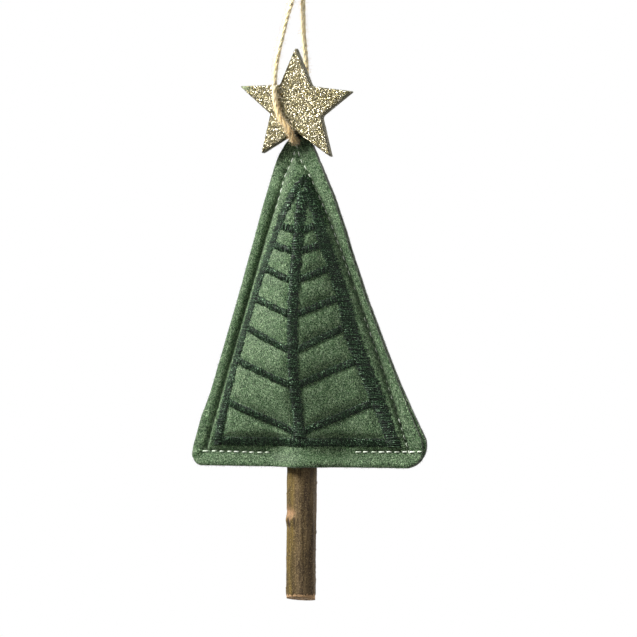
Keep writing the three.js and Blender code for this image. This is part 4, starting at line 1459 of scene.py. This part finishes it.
def mark_felt(piece, front):
    """Marks painted shade along the seam groove and painted shadow by the hole under the star, the cut edge's
    paler grey, partly painted light, and how hairy the felt is.
    """
    spots = np.empty(len(piece.data.vertices) * 3)
    piece.data.vertices.foreach_get("co", spots)
    spots = spots.reshape(-1, 3) / MM + (0, 0, HOLE_DROP)
    x, z = spots[:, 0], spots[:, 2]
    beyond = beyond_seam(x, z)
    outer_reach = np.where((x < PATTERN_AXIS) & (z > HEM_SEAM), CREASE_SHADE_LEFT_REACH, CREASE_SHADE_RIGHT_REACH)
    reach = np.where(beyond > 0, outer_reach, CREASE_SHADE_INNER_REACH)
    # Painted shade along the seam groove.
    crease = np.exp(-(beyond / reach) ** 2) * smooth_step((-SEAM_TOP_DROP - z) / CREASE_SHADE_TOP_FADE)
    free = (z < HEM_SEAM + CREASE_SHADE_FREE_RISE) & (x > -HEM_STITCH_LEFT) & (x < HEM_STITCH_RIGHT)
    # The cut edge's paler grey: partly the cut fibres' own colour, partly painted light where they catch it.
    cut = smooth_step((CUT_ROUND - inside_cut(x, z, front)) / CUT_ROUND)
    # Painted shadow under the star's notch, around the twine's hole.
    from_shade = np.hypot((x - HOLE_SHADE[0]) / HOLE_SHADE_REACH[0],
                          (z - HOLE_SHADE[1]) / HOLE_SHADE_REACH[1])
    set_mark(piece, "crease", np.where(free, 0, crease))
    set_mark(piece, "shade", smooth_step(HOLE_SHADE_EDGE - from_shade))
    set_mark(piece, "cut", cut * (FRONT_CUT_SHARE if front else 1))
    set_mark(piece, "cover", 1 + CUT_HAIR_GAIN * cut)


def punch_hole(piece):
    """Cuts the round hole that the twine goes through."""
    bpy.ops.mesh.primitive_cylinder_add(vertices=PUNCH_SIDES, radius=HOLE_RADIUS * MM, depth=PUNCH_DEPTH * MM,
                                        location=(0, 0, -HOLE_DROP * MM), rotation=(math.pi / 2, 0, 0))
    punch = bpy.context.object
    cut = piece.modifiers.new("hole", "BOOLEAN")
    cut.operation, cut.solver, cut.object = "DIFFERENCE", "EXACT", punch
    mesh = evaluated_mesh(piece)
    piece.modifiers.clear()
    piece.data = mesh
    bpy.data.objects.remove(punch)


front_felt = make_felt("front_felt", True, "front_panel")
back_felt = make_felt("back_felt", False, "back_panel")
add_hairs("front_felt_hairs", front_felt, "tree", FELT_HAIR,
          density=1.1, length=0.85, radius=0.018, tilt=0.6, seed=21)
add_hairs("back_felt_hairs", back_felt, "tree", FELT_HAIR,
          density=0.8, length=0.75, radius=0.018, tilt=0.5, seed=22)


# Embroidery


def crown_point(x, z, lift, front=True):
    """A point a little above a felt's outer face."""
    height = felt_height(x, z, front, puffed=False) + lift
    return np.stack([x, (-1 if front else 1) * height, np.asarray(z, float) + 0 * x], -1)


def arch(share):
    """Height of a stitch along its length: 0 at both ends, and 1 over its flat middle."""
    return 1 - (2 * share - 1) ** 4


def satin_lines(place, length, seed):
    """The stitches across one column, each arched over its middle and sunk into the felt at its ends."""
    rng = np.random.default_rng(seed)
    count = max(int(length / SATIN_PITCH), 3)
    u = ((np.arange(count) + 0.5 + rng.uniform(-SATIN_UNEVEN, SATIN_UNEVEN, count)) / count)[:, None]
    v = np.linspace(0, 1, SATIN_POINTS)[None, :]
    width = np.abs(np.subtract(*[np.hypot(*place(u, np.full_like(u, end))) for end in (0.0, 1.0)]))
    ragged = SATIN_RAGGED / np.maximum(width, SATIN_NARROW)
    past = np.abs(rng.normal(0, SATIN_PAST, (count, 2))) * ragged
    across = v * (1 + past[:, :1] + past[:, 1:]) - past[:, :1]
    skew = rng.uniform(-SATIN_SKEW, SATIN_SKEW, (count, 1)) / count
    x, z = place(np.clip(u + skew * (v - 0.5), 0, 1), across)
    dip = SATIN_DIP * np.sin(2 * np.pi * (across * width / SATIN_DIP_SIZE + rng.uniform(0, 1, (count, 1))))
    loose = rng.normal(0, SATIN_LOOSE, (count, 1))
    lift = -SATIN_SINK + (SATIN_SINK + SATIN_RISE) * arch(v) + dip * arch(v) + loose
    return to_metres(crown_point(x + 0 * z, z + 0 * x, lift))


def satin_bed(place, length):
    """A dark padded strip under the stitches, with its underside in the felt."""
    steps = max(int(length / BED_STEP), 4)
    u, v = np.meshgrid(np.linspace(0, 1, steps), np.linspace(*BED_SPAN, SATIN_POINTS), indexing="ij")
    x, z = place(u, v)
    top = crown_point(x, z, BED_RISE * arch(v) - BED_SINK)
    under = crown_point(x, z, -BED_DEPTH + 0 * v)
    return to_metres(np.vstack([top.reshape(-1, 3), under.reshape(-1, 3)])), u.shape


def make_satin(node, place, length, seed):
    """One stitched column: its threads over its padding."""
    lines = satin_lines(place, length, seed)
    threads = thread_piece(node.replace("embroidery", "satin"), lines, SATIN_RADIUS, SATIN_THREAD, seed,
                           SATIN_THINNEST)
    points, shape = satin_bed(place, length)
    rim = rim_numbers(*shape)
    faces = sheet_faces(*shape) + band_faces([rim, rim + shape[0] * shape[1]])
    bed = new_piece(node.replace("embroidery", "padding"), points, faces, [SATIN_THREAD])
    for piece in (threads, bed):
        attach(piece, "tree")
    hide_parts(node)


for seed, (node, place, length) in enumerate(COLUMNS, 40):
    make_satin(node, place, length, seed)


# Running stitches


def seam_runs():
    """Plan lines of the sewing, from the hem up to the tip on each side and in along the hem."""
    lefts = np.linspace(HEM_SEAM, -SEAM_TOP_DROP, SIDE_RUN_POINTS)
    rights = np.linspace(HEM_SEAM - SIDE_STITCH_PAST, -SEAM_TOP_DROP, SIDE_RUN_POINTS)
    left = np.column_stack([seam_line(lefts, True), lefts])
    right = np.column_stack([seam_line(rights, False), rights])
    tail = np.array(TOP_TAIL) - (0, SEAM_TOP_DROP)
    hem_left = float(seam_line(HEM_SEAM, True)) - HEM_STITCH_SHORT
    hem_right = float(seam_line(HEM_SEAM, False)) + HEM_STITCH_PAST
    hems = [np.linspace(-HEM_STITCH_LEFT, hem_left, HEM_RUN_POINTS),
            np.linspace(HEM_STITCH_RIGHT, hem_right, HEM_RUN_POINTS)]
    return {"side": [left, right, tail],
            "hem": [np.column_stack([x, hem_line(x) - HEM_STITCH_DROP]) for x in hems]}


def run_stitches(part, front, seed):
    """Separate visible stitches along the sewn lines, each dipping into the felt at both ends."""
    rng = np.random.default_rng(seed)
    full = STITCH_LENGTHS[part]
    lines = []
    for run in seam_runs()[part]:
        along = length_along(run)
        for begin in np.arange(STITCH_START, along[-1] - full * STITCH_LAST_SHARE, STITCH_PITCH):
            first = begin + rng.uniform(-STITCH_SHIFT, STITCH_SHIFT)
            length = full * rng.uniform(*STITCH_LENGTH_SHARES)
            spots = np.linspace(first, min(first + length, along[-1]), STITCH_POINTS)
            x = np.interp(spots, along, run[:, 0]) + rng.normal(0, STITCH_STRAY)
            z = np.interp(spots, along, run[:, 1]) + rng.normal(0, STITCH_STRAY)
            lift = STITCH_LIFTS[part] * arch(np.linspace(0, 1, STITCH_POINTS)) - STITCH_SINK
            on_left = bool(x[0] < PATTERN_AXIS)
            low, high = SUNK_SPANS[on_left]
            if front and part == "side" and low < z[0] < high:
                x, lift = x - SUNK_SHIFTS[on_left], lift - SUNK_DROP
            lines.append(to_metres(crown_point(x, z, lift, front)))
    return lines


for front, node in ((True, "seam_thread_front"), (False, "seam_thread_back")):
    for seed, part in enumerate(("side", "hem"), 70 + 2 * front):
        lines = run_stitches(part, front, seed)
        stitches = thread_piece(f"{node.replace('thread', 'stitches')}_{part}", lines, STITCH_RADII[part],
                                SEAM_THREAD, seed, STITCH_THINNEST, sides=8)
        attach(stitches, "tree")
        if part == "side":
            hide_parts(node)


# Twig


def bark_form():
    """The bark's surface, row by row from the hidden top to the sawn end, and its three marks."""
    share = np.linspace(0, 1, TWIG_ROWS)[:, None]
    share = share + TWIG_CROWDING * np.sin(2 * np.pi * share)
    turn = 2 * np.pi * np.arange(TWIG_SIDES)[None, :] / TWIG_SIDES
    z = TWIG_TOP + (TWIG_END - TWIG_TOP) * share
    radius = TWIG_RADIUS + (TWIG_END_RADIUS - TWIG_RADIUS) * share
    ring = np.stack([np.cos(turn) * TWIG_RADIUS + 0 * z, np.sin(turn) * TWIG_RADIUS + 0 * z, z + 0 * turn],
                    -1)
    ribs, broad, fine, pores = [
        soft_noise(ring * (1, 1, kind[0]), kind[1], seed)
        for seed, kind in enumerate((BARK_RIBS, BARK_SWELLS, BARK_GRAIN, BARK_PORES), 31)]
    pores = np.maximum(pores - PORE_LEVEL, 0) * (share < PORES_UNTIL)

    aside = (turn - BUD_TURN + np.pi) % (2 * np.pi) - np.pi
    off = np.abs(aside) / BUD_SPREAD
    rise = np.abs(z - BUD_Z) / BUD_REACH
    across, upright = [1 + np.cos(np.pi * np.clip(distance, 0, 1)) for distance in (off, rise)]
    bud = BUD_HEIGHT * 0.25 * across * upright
    scar_distance = np.hypot(off * SCAR_NARROW, (z - BUD_Z - SCAR_LIFT) / SCAR_REACH)
    scar = smooth_step(SCAR_EDGE - scar_distance + SCAR_UNEVEN * fine)
    pit_across = (turn - BUD_TURN + PIT_TURN) * TWIG_RADIUS / PIT_REACHES[0]
    pit = smooth_step(PIT_EDGE - np.hypot(pit_across, (z - BUD_Z + PIT_DROP) / PIT_REACHES[1]))
    chip_top = TWIG_END + CHIP_HEIGHT + CHIP_UNEVEN * broad + CHIP_UNEVEN * fine
    chip = smooth_step((chip_top - z) / CHIP_FADE)

    out = radius + BARK_RIBS[2] * ribs + BARK_SWELLS[2] * broad + BARK_GRAIN[2] * fine
    out = out + BARK_PORES[2] * pores + bud
    out = out - SCAR_DEPTH * scar * (scar_distance < 1) - PIT_DEPTH * pit - BARK_DEPTH * chip
    lean = TWIG_LEANS[0] + (TWIG_LEANS[1] - TWIG_LEANS[0]) * share
    cut = smooth_step((share - TWIG_CUT_BEND[0]) / TWIG_CUT_BEND[1])
    drop = cut * out * np.sin(turn) * math.tan(TWIG_CUT)
    return np.stack([lean + out * np.cos(turn), out * np.sin(turn), z - drop], -1), scar, pit, chip


def cut_end(rim, middle, way):
    """Circles that fill an end of the twig, a little sunk; way is 1 or -1, up or down into the wood."""
    circles = []
    for share in CAP_SHARES:
        circle = middle + (rim - middle) * share
        sunk = CAP_SINKS[0] if share > CAP_BARK_SHARE else CAP_SINKS[1]
        circle[:, 2] += way * sunk + CAP_ROUGH * soft_noise(circle, CAP_ROUGH_SIZE, 35)
        circles.append(circle)
    return circles


def make_twig():
    """The twig: bark over a lumpy round, a bud scar on its left, and a sawn end with its bark chipped."""
    bark, scar, pit, chip = bark_form()
    top = cut_end(bark[0], np.array([TWIG_LEANS[0], 0, TWIG_TOP]), -1)
    foot = cut_end(bark[-1], np.array([TWIG_LEANS[1], 0, TWIG_END]), 1)
    points = np.vstack([bark.reshape(-1, 3), *top, *foot])
    faces = grid_faces(TWIG_ROWS, TWIG_SIDES, closed=True)
    slots = [0] * len(faces)
    around = np.arange(TWIG_SIDES)
    caps = TWIG_ROWS * TWIG_SIDES
    for rim, first in ((0, caps), (caps - TWIG_SIDES, caps + len(CAP_SHARES) * TWIG_SIDES)):
        starts = [rim, *[first + index * TWIG_SIDES for index in range(len(CAP_SHARES))]]
        faces.extend(band_faces([start + around for start in starts]))
        faces.append(tuple((starts[-1] + around).tolist()))
    slots += [1] * (len(faces) - len(slots))
    piece = new_piece("twig", to_metres(points), faces, [BARK, CUT_WOOD], slots)
    padding = np.zeros(len(points) - caps)
    for label, mark in (("scar", scar), ("pit", pit), ("chipped", chip)):
        set_mark(piece, label, np.concatenate([mark.ravel(), padding]))
    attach(piece, "tree")
    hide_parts("trunk")


make_twig()


# Star


def toward(start, end, distance):
    """The point at a distance from the start on the way to the end."""
    return start + (end - start) * distance / np.linalg.norm(end - start)


def star_corner(order, inset):
    """One of the star's ten corners, tips and notches in turn; a tip draws in twice as far as a notch."""
    notch = order % 2
    turn = math.pi / 2 + STAR_TURN + order * math.pi / 5
    radius = STAR_RADIUS * (STAR_INNER_SHARE if notch else 1) - inset * (1 if notch else 2)
    x = radius * math.cos(turn)
    lift = FOOT_NOTCH_LIFT if order == FOOT_NOTCH else 0
    return x, radius * STAR_HEIGHT_SHARE * math.sin(turn) - STAR_SLANT * x + lift


def star_outline(inset):
    """Points round the star, with its corners a little rounded, in the star's own plane."""
    corners = np.array([star_corner(order, inset) for order in range(10)])
    line = []
    for before, corner, after in zip(np.roll(corners, 1, 0), corners, np.roll(corners, -1, 0)):
        enter = toward(corner, before, STAR_TIP_RADIUS)
        leave = toward(corner, after, STAR_TIP_RADIUS)
        for t in (0, 0.5, 1):
            line.append((1 - t) ** 2 * enter + 2 * t * (1 - t) * corner + t ** 2 * leave)
        count = int(np.linalg.norm(after - corner) / STAR_STEP)
        for share in np.linspace(0, 1, count)[1:-1]:
            line.append(leave + (toward(after, corner, STAR_TIP_RADIUS) - leave) * share)
    return np.array(line)


def star_rings(insets, depths, seed):
    """Rings of a closed layer of the star: edge rings, and smaller and smaller stars that fill both faces."""
    count = len(star_outline(0))
    rings = []
    for inset, depth in zip(insets, depths):
        ring = star_outline(inset)
        if len(ring) != count:
            ring = ring[np.linspace(0, len(ring) - 1, count).round().astype(int)]
        spots = np.column_stack([ring[:, 0], np.full(count, -depth), ring[:, 1]])
        wave = STAR_EDGE_WAVE[0] * soft_noise(spots, STAR_EDGE_WAVE[1], seed)
        rings.append(spots + np.column_stack([wave, 0 * wave, wave]))
    back = [rings[0] * (share, 1, share) for share in reversed(STAR_FILL_SHARES)]
    front = [rings[-1] * (share, 1, share) for share in STAR_FILL_SHARES]
    for ring in (*back, *front):
        ring[:, 1] += STAR_FACE_WAVE[0] * soft_noise(ring, STAR_FACE_WAVE[1], seed + 1)
    return [*back, *rings, *front]


def star_layer(name, material, rings):
    """A closed layer of the star in front of the tree's tip."""
    count = len(rings[0])
    points = np.vstack(rings) + (STAR_CENTRE[0], -STAR_BACK, STAR_CENTRE[1])
    faces = grid_faces(len(rings), count, closed=True) + end_faces(0, (len(rings) - 1) * count, count)
    return new_piece(name, to_metres(points), faces, [material])


def make_star():
    """The thick felt star, its glitter coat and the flakes on it, fewer at the worn tips."""
    core = star_layer("star_felt", STAR_FELT, star_rings(STAR_FELT_INSETS, STAR_FELT_DEPTHS, 61))
    set_mark(core, "cover", np.ones(len(core.data.vertices)))
    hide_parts("star_core")
    rings = star_rings(STAR_COAT_INSETS, STAR_COAT_DEPTHS, 62)
    coat = star_layer("star_glitter_coat", GLITTER_BED, rings)
    flat = np.vstack(rings)
    patchy = WORN_PATCH * soft_noise(flat, WORN_PATCH_SIZE, 63)
    worn = smooth_step((np.hypot(flat[:, 0], flat[:, 2]) + patchy - WORN_REACH) / WORN_FADE)
    worn = worn * (flat[:, 2] > WORN_FOOT)
    set_mark(coat, "worn", worn)
    on_face = flat[:, 1] < -(STAR_THICK + STAR_COAT * 0.5)
    set_mark(coat, "cover", np.where(on_face, 1 - WORN_FLAKE_LOSS * worn, SIDE_FLAKE_SHARE))
    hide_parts("star_face")
    flakes = apply_tree("star_flakes", coat, FLAKES, Density=36 / MM ** 2, Tilt=0.6, Smallest_Share=0.5,
                        Seed=64, Radius=0.2 * MM, Thickness=0.06 * MM, Material=FLAKE)
    for piece, slot in ((core, "felt_grey_green"), (coat, "glitter"), (flakes, "glitter")):
        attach(piece, "tree")
    add_hairs("star_felt_hairs", core, "tree", STAR_HAIR,
              density=1.2, length=0.6, radius=0.018, tilt=0.6, seed=65)


make_star()


# Glue and stuffing

for node in ("trunk_glue", "star_glue"):
    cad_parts[node].data.materials.clear()
    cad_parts[node].data.materials.append(GLUE)


def make_stuffing():
    """Loose fibre that fills the crowns: the filling's form, teased into tufts that stay inside it."""
    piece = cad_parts["filling"].copy()
    piece.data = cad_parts["filling"].data.copy()
    piece.name = piece.data.name = "stuffing"
    for key in [key for key in piece.keys() if key.startswith("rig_")]:
        del piece[key]
    piece.parent = None
    bpy.context.scene.collection.objects.link(piece)
    piece.data.materials.clear()
    piece.data.materials.append(STUFFING)
    shell = bmesh.new()
    shell.from_mesh(piece.data)
    bmesh.ops.remove_doubles(shell, verts=shell.verts, dist=1e-6)
    bmesh.ops.subdivide_edges(shell, edges=shell.edges, cuts=1, use_grid_fill=True)
    shell.normal_update()
    for vertex in shell.verts:
        tuft = 0.5 + 0.5 * noise.noise(vertex.co / (TUFT_SIZE * MM))
        vertex.co -= vertex.normal * TUFT_DEPTH * MM * tuft
    spots = np.array([vertex.co for vertex in shell.verts]) / MM + (0, 0, HOLE_DROP)
    front_room, back_room = [
        np.maximum(crown_height(spots[:, 0], spots[:, 2], front) - STUFFING_CLEAR, STUFFING_LEAST)
        for front in (True, False)]
    for vertex, y in zip(shell.verts, np.clip(spots[:, 1], -front_room, back_room)):
        vertex.co.y = y * MM
    shell.to_mesh(piece.data)
    shell.free()
    smooth_faces(piece.data)
    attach(piece, "tree")
    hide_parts("filling")


make_stuffing()


# Floor, light and background


def make_floor():
    """A pale floor that the camera sees as such, and that throws little light up at the object."""
    bpy.ops.mesh.primitive_plane_add(size=FLOOR_SIZE, location=FLOOR_PLACE)
    floor = bpy.context.object
    floor.name = "floor"
    material, tree, shader = new_material("pale_floor", Roughness=0.9)
    path = add_node(tree, "ShaderNodeLightPath")
    seen = calc(tree, "MAXIMUM", path.outputs["Is Camera Ray"], path.outputs["Is Glossy Ray"])
    tree.links.new(mix(tree, seen, srgb(168, 168, 167), srgb(240, 240, 238)), shader.inputs["Base Color"])
    shader.inputs["Emission Color"].default_value = srgb(240, 240, 238)
    tree.links.new(calc(tree, "MULTIPLY", seen, FLOOR_GLOW), shader.inputs["Emission Strength"])
    floor.data.materials.append(material)


def make_lamp(name, direction, distance, size, power):
    """A square soft lamp aimed at the middle of the tree."""
    aim = Vector(LIGHT_AIM) * MM
    lamp = bpy.data.lights.new(name, "AREA")
    lamp.shape, lamp.size, lamp.energy = "SQUARE", size, power
    holder = link_object(name, lamp)
    holder.location = aim + Vector(direction).normalized() * distance
    holder.rotation_euler = (aim - holder.location).to_track_quat("-Z", "Y").to_euler()


def make_world(level):
    """Even pale light; the camera and reflections see plain white."""
    world = bpy.data.worlds.new("studio")
    bpy.context.scene.world = world
    world.use_nodes = True
    tree = world.node_tree
    backdrop = tree.nodes["Background"]
    path = add_node(tree, "ShaderNodeLightPath")
    seen = calc(tree, "MAXIMUM", path.outputs["Is Camera Ray"], path.outputs["Is Glossy Ray"])
    seen = calc(tree, "MAXIMUM", seen, path.outputs["Is Transmission Ray"])
    tree.links.new(spread(tree, seen, 0, 1, level, 1), backdrop.inputs["Strength"])
    backdrop.inputs["Color"].default_value = (1, 1, 1, 1)


make_floor()
make_world(level=0.17)
make_lamp("key", direction=(-0.56, -0.50, 0.66), distance=0.7, size=0.36, power=14.6)
make_lamp("fill", direction=(0.9, -0.3, 0.05), distance=1.1, size=0.7, power=3.0)
make_lamp("back", direction=(0.35, 1.0, 0.35), distance=1.1, size=0.7, power=9)
bpy.context.scene.view_settings.view_transform = "Standard"
